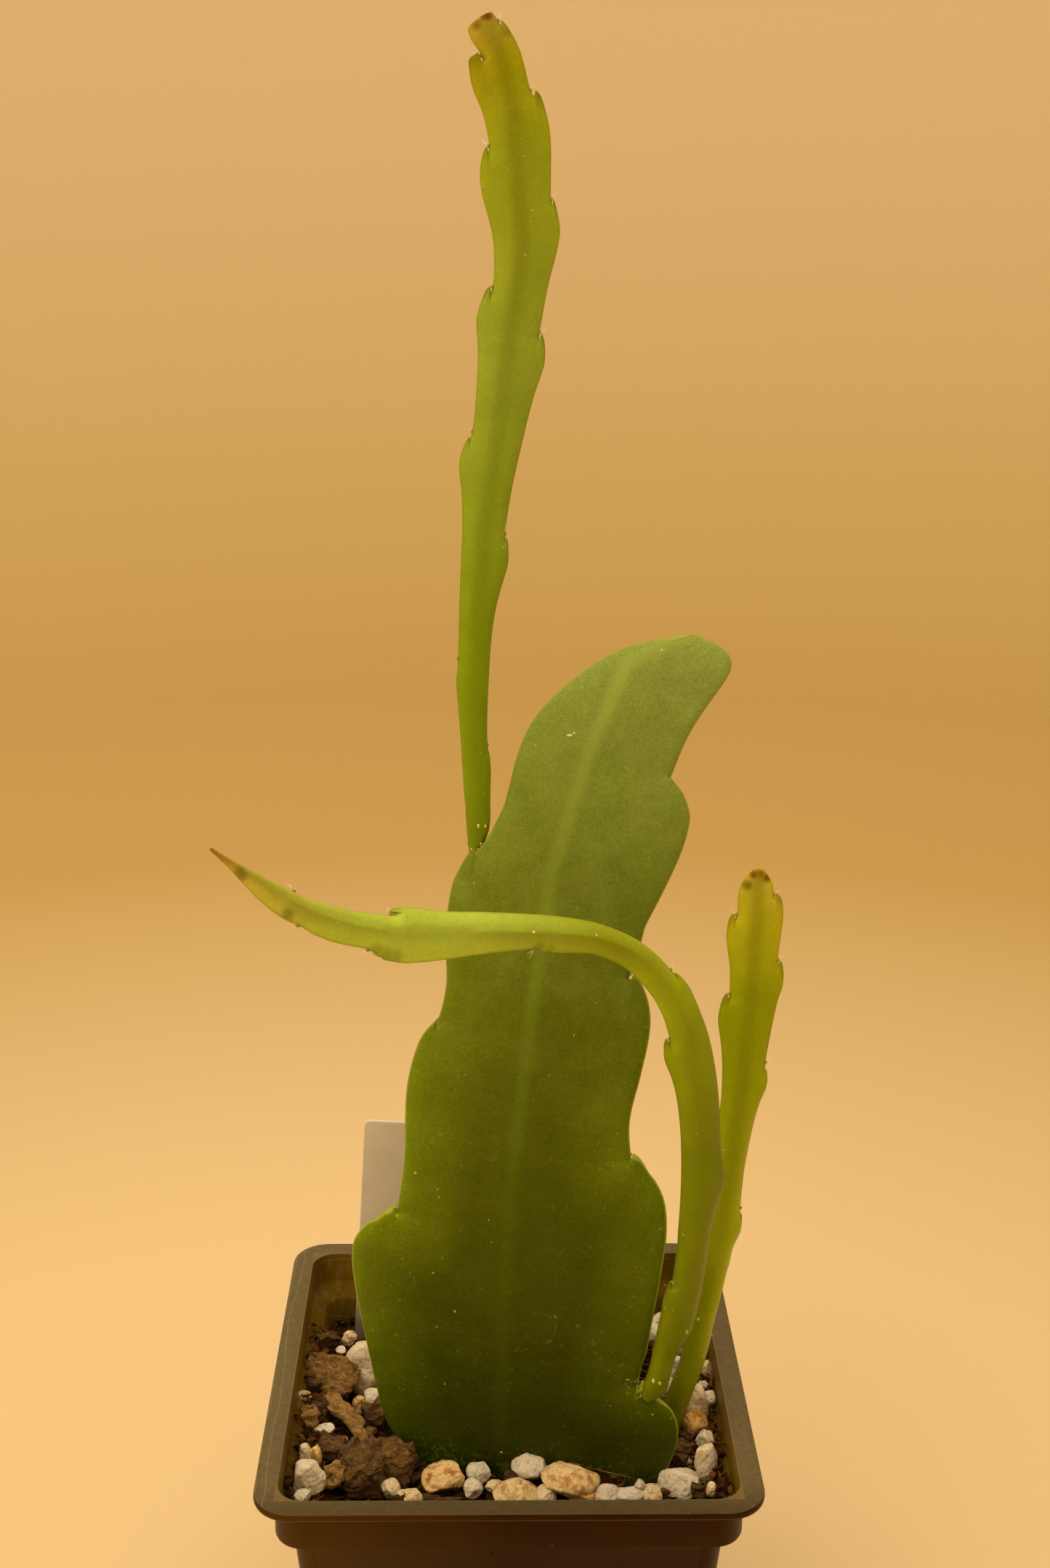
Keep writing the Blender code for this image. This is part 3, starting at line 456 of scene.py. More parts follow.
def swell_base(node, half_width, height):
    """Spreads a shoot's lowest points to a round bulb of the given half width and height."""
    measure = measures[node]
    along = measure["along"]
    step = 0.75
    levels = np.arange(0, 2.5 * height, step)
    now = [np.abs(measure["across"][np.abs(along - level) < step]).max() for level in levels]
    round_end = half_width * np.sqrt(1 - (1 - np.clip(levels / (0.4 * height), 0.12, 1)) ** 2)
    blend = soft_step(levels, height, 2 * height)
    wanted = round_end * (1 - blend) + np.maximum(now, half_width * 0.9) * blend
    factor = np.where(along < levels[-1], np.interp(along, levels, wanted / np.array(now)), 1)
    factor = 1 + (factor - 1) * (1 - soft_step(along, 1.7 * height, levels[-1]))
    places = corners(skins[node]) / MM
    across = measure["across"][:, None] * measure["sideways"]
    reshape(skins[node], (places + across * (factor - 1)[:, None]) * MM)


def taper_tip(node, start, share):
    """Draws a shoot in towards its midrib from a distance along it to its end."""
    measure = measures[node]
    over = soft_step(measure["along"], start, measure["length"])[:, None]
    places = corners(skins[node]) / MM
    offset = measure["offset"] * (1 - share) * over
    reshape(skins[node], (places - offset) * MM)


swell_base("arching_shoot", 2.9, 7.5)
taper_tip("arching_shoot", 156.0, 0.4)
pull("arching_shoot", (25.4, -18.2, 91.5), 9.0, (0.5, -1.5, -0.9))
pull("tall_shoot", (-6.4, 6.0, 323.4), 3.0, (-0.8, 0.0, 0.2))
print("highest point:", round(corners(skins["tall_shoot"])[:, 2].max() / MM, 1), "mm")

# %% Hooked lobes
# in millimetres: how far each stem's hooks reach, and how wide they are
HOOK = {"old_pad": (1.5, 1.7), "tall_shoot": (1.8, 1.9), "arching_shoot": (1.6, 1.8), "basal_shoot": (1.7, 1.8)}
HOOK_ABOVE, HOOK_BELOW = 0.9, 5.0  # a hook starts this far above its notch and fades out this far below it
HOOK_INWARDS, HOOK_THICKER = 0.4, 0.22  # how far it also moves to the midrib and swells
for node, lobes in LOBES.items():
    skin, measure = skins[node], measures[node]
    places, tips = corners(skin) / MM, np.zeros(len(skin.data.vertices))
    thicker = measure["facing"] * np.sign(np.sum(normals(skin) * measure["facing"], axis=1))[:, None]
    reach, wide = HOOK[node]
    dark = 0.15 if node == "old_pad" else 0.55
    for side, along in lobes:
        gap = measure["across"] * side - margin_width(measure, along + 1.5, side)
        below = along + HOOK_ABOVE - measure["along"]
        share = soft_step(gap, 0.05, 0.8) * (1 - soft_step(gap, wide, 2.4 * wide))
        share *= (below > 0) * (1 - soft_step(below, 1.6, HOOK_BELOW))
        bend = reach * measure["onward"] - HOOK_INWARDS * side * measure["sideways"] + HOOK_THICKER * thicker
        places += share[:, None] * bend
        tips = np.maximum(tips, dark * soft_step(share, 0.2, 0.8) * (1 - soft_step(below, 1.0, 3.6)))
    reshape(skin, places * MM)
    keep_number(skin, "tip", tips)
    print(f"{node}: {int((tips > 0.1).sum())} points browned")

# %% [markdown]
# ## Skin of the old stem
#
# The skin of an old stem is dark green and waxy, with a paler band over the midrib, a thin bright line along
# the margin that is painted rim light, and a fine grain of cells. It is darkest near the soil and turns olive
# towards the tip, where its greyer tone is a painted sheen. The waxy surface is a dielectric with an index near
# 1.45 and a soft sheen. Cells are much finer than a pixel, so the grain is drawn at about half a millimetre.

# %% A stem's material
CELL = 0.7  # width of a cell as drawn, in millimetres


def stem_material(name, length, along_stops, rib_stops, rib_width, edge_colour, edge_strength, side_light,
                  half_width, blotch, grain, marks, roughness, glow):
    """A stem's skin: colour along it, a midrib band, a margin line, cells, old marks and brown tips.

    Side light is painted light, this much lighter at half_width left of the midrib and darker right; blotch and
    grain say how much the wide and fine pattern change the colour, and marks how strong the old marks are.
    """
    material, tree, shader, place = start_material(name)
    along, across, edge, tip = (
        add(tree, "Attribute", attribute_name=number).outputs["Fac"]
        for number in ("along", "across", "edge", "tip")
    )
    wander = add(tree, "TexNoise", {"Vector": place, "Scale": per_mm(14), "Detail": 3.0})
    shifted = add(tree, "Math", {0: wander, 1: 16.0, 2: -8.0}, operation="MULTIPLY_ADD")
    reach = add(tree, "Math", {0: along, 1: shifted}, operation="ADD")
    share = add(tree, "MapRange", {"Value": reach, "From Max": length})
    base = add(tree, "ValToRGB", {"Fac": share}, along_stops)

    blotches = add(tree, "TexNoise", {"Vector": place, "Scale": per_mm(7), "Detail": 3.0})
    tone = add(tree, "MapRange", {"Value": blotches, "From Min": 0.3, "From Max": 0.7, "To Min": 1 - blotch,
                                  "To Max": 1 + blotch})
    cells = add(tree, "TexNoise", {"Vector": place, "Scale": per_mm(CELL), "Detail": 2.5, "Distortion": 0.4})
    centred = add(tree, "Math", {0: cells, 1: 0.5}, operation="SUBTRACT")
    furrow = add(tree, "Math", {0: centred}, operation="ABSOLUTE")
    fine = add(tree, "MapRange", {"Value": furrow, "From Max": 0.09, "To Min": 1 + grain, "To Max": 1 - grain})
    # painted light: lighter to the left of the midrib, darker to the right
    side = add(tree, "MapRange", {"Value": across, "From Min": -half_width, "From Max": half_width,
                                  "To Min": 1 + side_light, "To Max": 1 - side_light})
    # painted light: the skin is lighter within 4 mm of the margin, as a thin rim lets light through
    thin = add(tree, "MapRange", {"Value": edge, "From Max": 4.0, "To Min": 1.15, "To Max": 1.0})
    for factor in (fine, side, thin):
        tone = add(tree, "Math", {0: tone, 1: factor}, operation="MULTIPLY")
    mottled_and_side_lit = add(tree, "VectorMath", {0: base, "Scale": tone}, operation="SCALE")

    uneven = add(tree, "MapRange", {"Value": wander, "From Min": 0.35, "From Max": 0.65, "To Min": 0.7,
                                    "To Max": 1.0})
    rib = add(tree, "Math", {0: across}, operation="ABSOLUTE")
    band = add(tree, "MapRange", {"Value": rib, "From Max": rib_width, "To Min": 1.0, "To Max": 0.0},
               interpolation_type="SMOOTHERSTEP")
    rib_look = add(tree, "ValToRGB", {"Fac": share}, [(start, digits) for start, digits, _ in rib_stops])
    greys = [(start, 3 * f"{round(255 * weight ** (1 / 2.2)):02x}") for start, _, weight in rib_stops]
    strength = add(tree, "ValToRGB", {"Fac": share}, greys)
    for factor in (uneven, strength):
        band = add(tree, "Math", {0: band, 1: factor}, operation="MULTIPLY")
    ribbed = add(tree, "Mix", {0: band, 6: mottled_and_side_lit, 7: rib_look}, data_type="RGBA")
    # the margin line: painted rim light on the old stem, a darker brown line on the shoots
    line = add(tree, "MapRange", {"Value": edge, "From Min": 0.15, "From Max": 0.55, "To Min": edge_strength,
                                  "To Max": 0.0}, interpolation_type="SMOOTHSTEP")
    edged = add(tree, "Mix", {0: line, 6: ribbed, 7: from_hex(edge_colour)}, data_type="RGBA")
    tip_look = add(tree, "ValToRGB", {"Fac": tip}, [(0.5, "504C04"), (0.9, "74430F")])
    scorched = add(tree, "Mix", {0: tip, 6: edged, 7: tip_look}, data_type="RGBA")

    spots = add(tree, "TexNoise", {"Vector": place, "Scale": per_mm(1.0), "Detail": 4.0, "Roughness": 0.65})
    mark = add(tree, "MapRange", {"Value": spots, "From Min": 0.63, "From Max": 0.7, "To Max": marks})
    here = add(tree, "MapRange", {"Value": wander, "From Min": 0.4, "From Max": 0.6, "To Min": 0.25})
    mark = add(tree, "Math", {0: mark, 1: here}, operation="MULTIPLY")
    marked = add(tree, "Mix", {0: mark, 6: scorched, 7: from_hex("8E9A44")}, data_type="RGBA")

    relief = add(tree, "Bump", {"Height": blotches, "Strength": 0.5, "Distance": 1.0 * MM})
    pores = add(tree, "Bump", {"Height": fine, "Strength": 0.3, "Distance": 0.4 * MM, "Normal": relief})
    plug(tree, shader, {"Base Color": marked, "Normal": pores, "Roughness": roughness, "IOR": 1.45,
                        "Specular IOR Level": 0.35, "Specular Tint": from_hex("FFE766"),
                        "Subsurface Weight": glow, "Subsurface Radius": (1.0, 0.9, 0.25),
                        "Subsurface Scale": 1.6 * MM})
    return material, tree, shader, place, marked


print(f"cells drawn {CELL} mm wide")


# %% Skin of the old stem
def seen_on(skin, x, y):
    """The point of a skin that a pixel of the picture shows, and the way the skin faces there."""
    found, spot, facing, _ = skin.ray_cast(EYE, ray_through(x, y))
    if not found:
        print(f"{skin.name} isn't under the pixel {x}, {y}")
    return spot, facing


old_skin, tree, shader, place, painted = stem_material(
    "waxy_skin_of_an_old_stem", measures["old_pad"]["length"],
    # from the soil to the tip; the greyer, bluer stops near the tip paint a sheen
    along_stops=[(0.0, "263301"), (0.12, "384502"), (0.4, "4E6106"), (0.6, "586B10"), (0.78, "6A822E"),
                 (1.0, "7F964A")],
    rib_stops=[(0.0, "586C0C", 0.1), (0.3, "5E760E", 0.25), (0.6, "6E8E24", 0.5), (1.0, "96AE54", 0.75)],
    # painted light: the bright margin line is rim light, and the left side is lighter
    rib_width=2.4, edge_colour="8E9C2C", edge_strength=0.6, side_light=0.17, half_width=26.0,
    blotch=0.08, grain=0.12, marks=0.55, roughness=0.42, glow=0.1,
)
RINGS = [  # old scars and dried drops, as the picture shows them: x and y in pixels, radius in millimetres
    (855, 1044, 0.8), (816, 1059, 0.7), (860, 1061, 0.6), (841, 969, 0.7), (771, 1662, 1.3), (684, 1559, 0.9),
    (669, 1203, 0.9), (742, 1828, 3.0), (790, 1735, 2.6), (566, 1763, 0.8), (676, 1590, 1.0),
]
RING_LINE, RING_WANDER = 0.2 * MM, 1.1 * MM  # width of a ring's line, and how far it strays from round
bpy.context.view_layer.update()
jitter = add(tree, "TexNoise", {"Vector": place, "Scale": per_mm(2.2), "Detail": 3.0}).outputs["Color"]
loose = add(tree, "VectorMath", {0: jitter, 1: (RING_WANDER,) * 3, 2: place}, operation="MULTIPLY_ADD")
scars = None
for x, y, radius in RINGS:
    middle = seen_on(skins["old_pad"], x, y)[0] + Vector((RING_WANDER / 2,) * 3)
    away = add(tree, "VectorMath", {0: loose, 1: tuple(middle)}, operation="DISTANCE")
    off = add(tree, "Math", {0: away, 1: radius * MM}, operation="SUBTRACT")
    near = add(tree, "Math", {0: off}, operation="ABSOLUTE")
    ring = add(tree, "MapRange", {"Value": near, "From Max": RING_LINE, "To Min": 0.3, "To Max": 0.0})
    scars = ring if scars is None else add(tree, "Math", {0: scars, 1: ring}, operation="MAXIMUM")
smudge = add(tree, "TexNoise", {"Vector": place, "Scale": per_mm(1.6), "Detail": 3.0})
broken = add(tree, "MapRange", {"Value": smudge, "From Min": 0.46, "From Max": 0.6})
scars = add(tree, "Math", {0: scars, 1: broken}, operation="MULTIPLY")
scarred = add(tree, "Mix", {0: scars, 6: painted, 7: from_hex("97A24C")}, data_type="RGBA")
print("rings:", len(RINGS))

# %% Damp, painted margin light, haze and salt on the old stem
height = add(tree, "SeparateXYZ", {0: place}).outputs["Z"]
damp = add(tree, "MapRange", {"Value": height, "From Min": 70 * MM, "From Max": 94 * MM, "To Min": 0.8,
                              "To Max": 1.0}, interpolation_type="SMOOTHSTEP")
edge, along, across = (
    add(tree, "Attribute", attribute_name=number).outputs["Fac"] for number in ("edge", "along", "across")
)
# painted light and shade: low on the stem the skin is lighter near the margins and darker in the middle
margin_light_fall = add(tree, "MapRange", {"Value": edge, "From Max": 14.0, "To Min": 0.6, "To Max": -0.28})
low = add(tree, "MapRange", {"Value": along, "From Min": 72.0, "From Max": 116.0, "To Min": 1.0, "To Max": 0.0})
painted_margin_light = add(tree, "Math", {0: margin_light_fall, 1: low, 2: 1.0}, operation="MULTIPLY_ADD")
light = add(tree, "Math", {0: damp, 1: painted_margin_light}, operation="MULTIPLY")
damp_and_margin_lit = add(tree, "VectorMath", {0: scarred, "Scale": light}, operation="SCALE")
haze = add(tree, "TexNoise", {"Vector": place, "Scale": per_mm(9), "Detail": 5.0, "Roughness": 0.6})
hazy = add(tree, "MapRange", {"Value": haze, "From Min": 0.47, "From Max": 0.68, "To Max": 0.14})
high = add(tree, "MapRange", {"Value": along, "From Min": 75.0, "From Max": 110.0})
film = add(tree, "Math", {0: hazy, 1: high}, operation="MULTIPLY")
filmed = add(tree, "Mix", {0: film, 6: damp_and_margin_lit, 7: from_hex("94A45C")}, data_type="RGBA")
crust = add(tree, "TexNoise", {"Vector": place, "Scale": per_mm(1.1), "Detail": 4.0, "Roughness": 0.7})
splashed = add(tree, "MapRange", {"Value": height, "From Min": 72 * MM, "From Max": 80 * MM, "To Min": -0.1,
                                  "To Max": 0.1})
left_over = add(tree, "Math", {0: crust, 1: splashed}, operation="SUBTRACT")
to_left = add(tree, "MapRange", {"Value": across, "From Min": -18.0, "From Max": -4.0, "To Min": 0.6,
                                 "To Max": 0.25})
salt = add(tree, "MapRange", {"Value": left_over, "From Min": 0.59, "From Max": 0.68, "To Max": to_left})
salted = add(tree, "Mix", {0: salt, 6: filmed, 7: from_hex("7C8A34")}, data_type="RGBA")
plug(tree, shader, {"Base Color": salted})
finish_piece(skins["old_pad"], old_skin, "old_stem", "old_pad")

# %% [markdown]
# ## Skin of the new shoots
#
# The new shoots are yellow-green and let some light through, so their subsurface share is larger. Their
# tips, which are only weeks old, turn yellow and then reddish brown. One material function serves all
# four stems, since the same skin covers them, and only the colours and the midrib differ.

# %% Skin of the new shoots
SHOOT_COLOURS = {
    "tall_shoot": [(0.0, "6C880A"), (0.3, "7C9814"), (0.6, "8AA438"), (0.85, "8CA01E"), (0.955, "98990F"),
                   (0.985, "AEA23C"), (1.0, "AC8234")],
    "arching_shoot": [(0.0, "6C7A04"), (0.3, "70820A"), (0.42, "84980E"), (0.5, "98B018"), (0.6, "8C9E18"),
                      (0.72, "A6C048"), (0.84, "A4BA42"), (0.94, "B2B248"), (0.98, "B8A048"), (1.0, "A46A38")],
    "basal_shoot": [(0.0, "7C8604"), (0.4, "9CB00E"), (0.62, "98AA0A"), (0.78, "8A9C06"), (0.93, "A8AC1C"),
                    (0.985, "B2AC38"), (1.0, "A88C24")],
}
STAINS = {  # brown spots where the picture shows them: x and y in pixels, radius in millimetres, strength
    "tall_shoot": [(655, 34, 0.9, 0.6), (671, 22, 0.7, 1.0), (665, 23, 0.6, 0.8), (697, 42, 1.1, 0.45)],
    "arching_shoot": [(331, 1203, 1.2, 0.6), (396, 1258, 1.1, 0.5), (518, 1310, 1.4, 0.45),
                      (530, 1316, 1.4, 0.45), (545, 1318, 1.2, 0.35), (742, 1304, 1.2, 0.45),
                      (756, 1307, 1.1, 0.35), (545, 1252, 1.0, 0.3)],
    "basal_shoot": [(1028, 1218, 1.0, 0.75), (1037, 1204, 0.7, 0.9), (1056, 1208, 0.8, 0.9),
                    (1047, 1203, 0.5, 0.7)],
}
for node, stops in SHOOT_COLOURS.items():
    stains = np.empty(len(skins[node].data.vertices))
    skins[node].data.attributes["tip"].data.foreach_get("value", stains)
    for x, y, radius, strength in STAINS[node]:
        middle = seen_on(skins[node], x, y)[0]
        away = np.linalg.norm(corners(skins[node]) - np.array(middle), axis=1) / MM
        stains = np.maximum(stains, strength * (1 - soft_step(away, 0.3 * radius, 1.4 * radius)))
    keep_number(skins[node], "tip", stains)
    skin, *_ = stem_material(
        "soft_skin_of_" + node, measures[node]["length"], along_stops=stops,
        rib_stops=[(0.0, "5E7008", 0.1), (1.0, "6C7408", 0.5)], rib_width=2.4, edge_colour="625E0C",
        # painted light on the arching shoot's left side, which is its lower one
        edge_strength=0.3, side_light=0.1 if node == "arching_shoot" else 0.0, half_width=5.0,
        blotch=0.05, grain=0.05, marks=0.25, roughness=0.38, glow=0.3,
    )
    finish_piece(skins[node], skin, "new_stem", node)

# %% [markdown]
# ## Areoles
#
# At each notch of a margin sits an areole, the small felted cushion that marks a cactus. One to three fine
# hairs stand out of it, and they are longest where the shoot is youngest. A cushion starts as a small sphere
# and a hair as a cone, both made once. Each copy is turned to its stem's own directions, so it points outwards
# and towards the tip.

# %% Areoles
bpy.ops.mesh.primitive_ico_sphere_add(subdivisions=2, radius=1)
cushion_shape = take_shape(bpy.context.object)
bpy.ops.mesh.primitive_cone_add(vertices=5, radius1=1, depth=1, location=(0, 0, 0.5))
bpy.ops.object.transform_apply(location=True)
hair_shape = take_shape(bpy.context.object)


def turned(places, size, middle, axes):
    """Scales a shape, turns it to three directions and moves it to its middle, all in millimetres."""
    return (np.asarray(middle) + (places * size) @ np.array(axes)) * MM


def notch_point(measure, along, side):
    """The point of a margin at a distance along the stem, with the stem's directions there."""
    found = np.where(measure["on_margin"] & (measure["across"] * side > 0))[0]
    best = found[np.argmin(np.abs(measure["along"][found] - along))]
    return [measure[key][best] for key in ("places", "onward", "sideways", "facing")]


def hair(root, way, length, thick, tone):
    """One hair that tapers to its tip."""
    way = np.asarray(way) / np.linalg.norm(way)
    across = np.cross(way, (0.3, -0.9, 0.31))
    across /= np.linalg.norm(across)
    axes = (across, np.cross(way, across), way)
    return turned(hair_shape[0], (thick, thick, length), root, axes), hair_shape[1], tone


luck = np.random.default_rng(5)
for node, lobes in LOBES.items():
    felts = []
    old = node == "old_pad"
    for number, (side, along) in enumerate(lobes, 1):
        young = along / measures[node]["length"] > 0.55 and not old
        point, onward, sideways, facing = notch_point(measures[node], along + 1.3, side)
        out = sideways * side
        felt, faces = cushion_shape
        felt = felt * (1 + 0.3 * rumple(felt, 0.7, number))[:, None]
        felts.append((turned(felt, (0.2, 0.3, 0.32), point + out * 0.05, (out, facing, onward)), faces, 0.6))
        for _ in range(luck.integers(1, 4)):
            way = out * luck.uniform(0.3, 1) + onward * luck.uniform(0.5, 1) + facing * luck.uniform(-0.6, 0.6)
            length = luck.uniform(0.9, 2.2) if young else luck.uniform(0.4, 0.9)
            felts.append(hair(point + out * 0.2, way, length, 0.045, luck.uniform(0.9, 1.4)))
    piece = one_piece(node + "_areoles", felts)
    felt_finish, tree, shader, place = start_material("areole_felt_of_" + node)
    tone = add(tree, "Attribute", attribute_name="tone").outputs["Fac"]
    fluff = add(tree, "TexNoise", {"Vector": place, "Scale": per_mm(0.5), "Detail": 3.0})
    mixed = add(tree, "Math", {0: fluff, 1: 0.3, 2: tone}, operation="MULTIPLY_ADD")
    colour = add(tree, "ValToRGB", {"Fac": mixed}, [(0.4, "6C6A1E"), (0.75, "948A44"), (1.0, "F8F4E4")])
    plug(tree, shader, {"Base Color": colour, "Roughness": 0.8})
    finish_piece(piece, felt_finish, "old_stem" if old else "new_stem")

# %% [markdown]
# ## Specks and drops
#
# Small things make a plant look real: flakes of dried sap, drops of nectar that shine, and threads of torn
# skin at the foot of a shoot. Each is modelled once and copied. A speck that the picture shows is placed by
# casting its pixel onto the stem, so it lies on the skin, flat against it. A few dozen more are scattered on
# all sides.

# %% Specks and drops as the picture shows them
FLAKES = {  # x and y in pixels, width and height in pixels, tone
    "old_pad": [
        (911, 895, 4, 4, 1.0), (801, 947, 3, 3, 0.9), (737, 1026, 3, 3, 0.9), (652, 1216, 3, 3, 0.8),
        (790, 1425, 2.5, 3, 0.8), (572, 1615, 4, 3, 0.9), (784, 1012, 11, 3.5, 1.1), (790, 1009, 4, 3, 1.2),
        (571, 1614, 3, 4, 0.8), (602, 1637, 3, 3, 0.6), (604, 1648, 4, 3, 0.6), (626, 1805, 4, 4, 0.7),
        (601, 1826, 4, 2, 0.5), (898, 1947, 3, 3, 0.9), (690, 1999, 4, 4, 1.0), (864, 1899, 6, 2, 0.9),
        (716, 1140, 3, 3, 0.5), (742, 1190, 2, 3, 0.5), (830, 1270, 3, 2, 0.5), (690, 1340, 3, 3, 0.4),
        (820, 1380, 2, 3, 0.5), (756, 1480, 3, 3, 0.4), (640, 1480, 3, 3, 0.4), (850, 1560, 3, 3, 0.4),
        (612, 1905, 3, 3, 0.5), (840, 1935, 3, 2, 0.4), (596, 1752, 5, 3, 0.5), (764, 1812, 3, 3, 0.5),
    ],
    "tall_shoot": [
        (693, 754, 5, 5, 0.7), (683, 170, 2.5, 3, 0.8), (719, 191, 3, 3, 0.8), (721, 215, 3, 3, 0.8),
        (698, 232, 3, 4, 0.8), (733, 289, 6, 3, 0.9), (730, 305, 3, 3, 0.7), (723, 351, 3, 4, 0.8),
        (685, 373, 3, 4, 0.7), (664, 258, 4, 5, 0.7), (728, 380, 3, 3, 0.6), (700, 470, 3, 3, 0.6),
        (660, 620, 3, 3, 0.6), (690, 690, 3, 3, 0.6), (666, 1093, 3, 3, 0.6),
    ],
    "arching_shoot": [
        (735, 1283, 5, 5, 1.2), (821, 1287, 4, 4, 1.1), (774, 1284, 2.5, 4, 0.8), (690, 1262, 3, 3, 0.6),
        (465, 1270, 4, 4, 0.7), (610, 1276, 3, 3, 0.6), (640, 1300, 3, 3, 0.6), (560, 1262, 3, 3, 0.5),
        (940, 1700, 6, 4, 0.5), (915, 1800, 3, 3, 0.6), (960, 1560, 3, 3, 0.5), (520, 1300, 3, 3, 0.6),
    ],
    "basal_shoot": [
        (1012, 1325, 3, 3, 0.7), (1040, 1400, 2, 3, 0.6), (1007, 1500, 2, 3, 0.6), (1022, 1560, 3, 3, 0.6),
        (968, 1867, 4, 5, 1.0), (1000, 1720, 3, 3, 0.6), (1030, 1290, 2, 2, 0.6),
    ],
}
DROPS = {  # the same without a tone
    "tall_shoot": [(658.5, 1137, 4, 6), (668, 1137, 3.5, 5), (649, 1169, 3, 3), (657, 1169, 4, 3),
                   (662, 1161, 4, 3)],
    "arching_shoot": [(899, 1901, 4, 7), (908, 1904, 4, 6), (945, 1833, 4, 8)],
    "basal_shoot": [(961, 1816, 4, 5)],
}
# torn threads and long hairs: x and y in pixels, length in millimetres, way on the picture in degrees, tone
FRINGES = {
    "old_pad": [
        (862, 1909, 1.2, 100, 1.0), (872, 1905, 1.6, 60, 1.1), (876, 1908, 1.4, 20, 1.2),
        (879, 1911, 1.6, -30, 1.2), (874, 1915, 1.4, -60, 1.0), (868, 1913, 1.2, 130, 0.8),
        (881, 1917, 1.3, -80, 1.1), (870, 1918, 1.5, 160, 0.8), (884, 1921, 1.2, 200, 0.9),
        (865, 1904, 1.5, 30, 0.7), (888, 1922, 1.1, -20, 0.8),
    ],
    "tall_shoot": [(646, 1164, 1.6, 130, 0.1), (647, 1163, 1.0, 90, 0.3), (729, 128, 1.8, 150, 1.4),
                   (731, 128, 1.6, 75, 1.3), (693, 738, 3.0, 80, 1.2), (754, 275, 1.9, 105, 1.4)],
    "arching_shoot": [(918, 1772, 1.3, 130, 1.2)],
    "basal_shoot": [(975, 1843, 2.0, 50, 1.2), (996, 1520, 1.6, 110, 1.2), (1004, 1505, 2.2, 65, 1.2)],
}
print("flakes seen:", {node: len(rows) for node, rows in FLAKES.items()})


# %% Sap and nectar
def on_skin(node, x, y):
    """The place on a stem that a pixel shows in millimetres, pixels per millimetre, and directions along it."""
    spot, facing = seen_on(skins[node], x, y)
    level = to_right - facing * to_right.dot(facing)
    level.normalize()
    scale = FOCAL_PIXELS * MM / (spot - EYE).dot(forward)
    return np.array(spot) / MM, scale, (level, facing.cross(level), facing)


def fleck(middle, axes, wide, high, thick, seed, tone):
    """A flat rounded flake that lies on the skin, as one copy for one_piece."""
    ball = cushion_shape[0] * (1 + 0.35 * rumple(cushion_shape[0], 0.8, seed))[:, None]
    return turned(ball, (wide / 2, high / 2, thick / 2), middle, np.array(axes)), cushion_shape[1], tone


sap, tree, shader, place = start_material("dried_sap")
tone = add(tree, "Attribute", attribute_name="tone").outputs["Fac"]
colour = add(tree, "ValToRGB", {"Fac": tone},
             [(0.0, "4A3008"), (0.4, "98A042"), (0.75, "BCBC7C"), (1.0, "E4DDC0")])
plug(tree, shader, {"Base Color": colour, "Roughness": 0.5})
nectar, tree, shader, place = start_material("nectar_drop_painted_highlight")
# the drops' pale, near white tone is a painted highlight over yellow-green nectar
cloud_and_glint = add(tree, "TexNoise", {"Vector": place, "Scale": per_mm(0.7), "Detail": 1.0})
colour = add(tree, "ValToRGB", {"Fac": cloud_and_glint}, [(0.3, "B4BC58"), (0.7, "F2EEC8")])
plug(tree, shader, {"Base Color": colour, "Roughness": 0.08, "IOR": 1.4})
print("materials:", sap.name, nectar.name)

# %% Specks and drops
SMALLER = 0.85  # a flake is a little smaller than its blurred picture
THREAD = 0.05  # thickness of a thread in millimetres
luck = np.random.default_rng(23)
for node, rows in FLAKES.items():
    flakes = []
    for number, (x, y, wide, high, shade) in enumerate(rows):
        middle, scale, axes = on_skin(node, x, y)
        scale /= SMALLER
        flakes.append(fleck(middle, axes, wide / scale, high / scale, 0.14, number, 0.8 * shade))
    spread = np.where(~measures[node]["on_margin"] & (measures[node]["along"] > 4))[0]
    facings = normals(skins[node])
    for number in luck.choice(spread, 45 if node == "old_pad" else 28, replace=False):
        facing = Vector(facings[number])
        level = facing.cross(Vector((0, 0, 1))).normalized()
        wide, high = luck.uniform(0.15, 0.35, 2)
        middle = corners(skins[node])[number] / MM
        axes = (level, facing.cross(level), facing)
        flakes.append(fleck(middle, axes, wide, high, 0.1, number % 50, luck.uniform(0.35, 0.5)))
    for x, y, length, way, shade in FRINGES[node]:
        middle = on_skin(node, x, y)[0]
        turn = math.radians(way)
        direction = to_right * math.cos(turn) + to_top * math.sin(turn) - forward * 0.35
        flakes.append(hair(middle + 0.1 * np.array(forward), direction, length, THREAD, shade))
    finish_piece(one_piece(node + "_flakes", flakes), sap, "old_stem" if node == "old_pad" else "new_stem")
for node, rows in DROPS.items():
    drops = []
    for number, (x, y, wide, high) in enumerate(rows):
        middle, scale, axes = on_skin(node, x, y)
        drops.append(fleck(middle, axes, wide / scale, high / scale, 0.6 * wide / scale, number, 1.0))
    finish_piece(one_piece(node + "_drops", drops), nectar, "new_stem")

# %% [markdown]
# ## Nursery pot
#
# A square pot of this kind is thin black polypropylene, injection moulded: walls under a millimetre thick, a
# band under the rim, a rim turned out flat and four drain holes. It is modelled as one strip of levels, from
# the foot up the outside, over the rim and down the inside. Each level is an extrusion of the last face,
# whose round corners are then set to the radius that the pot has at that height.

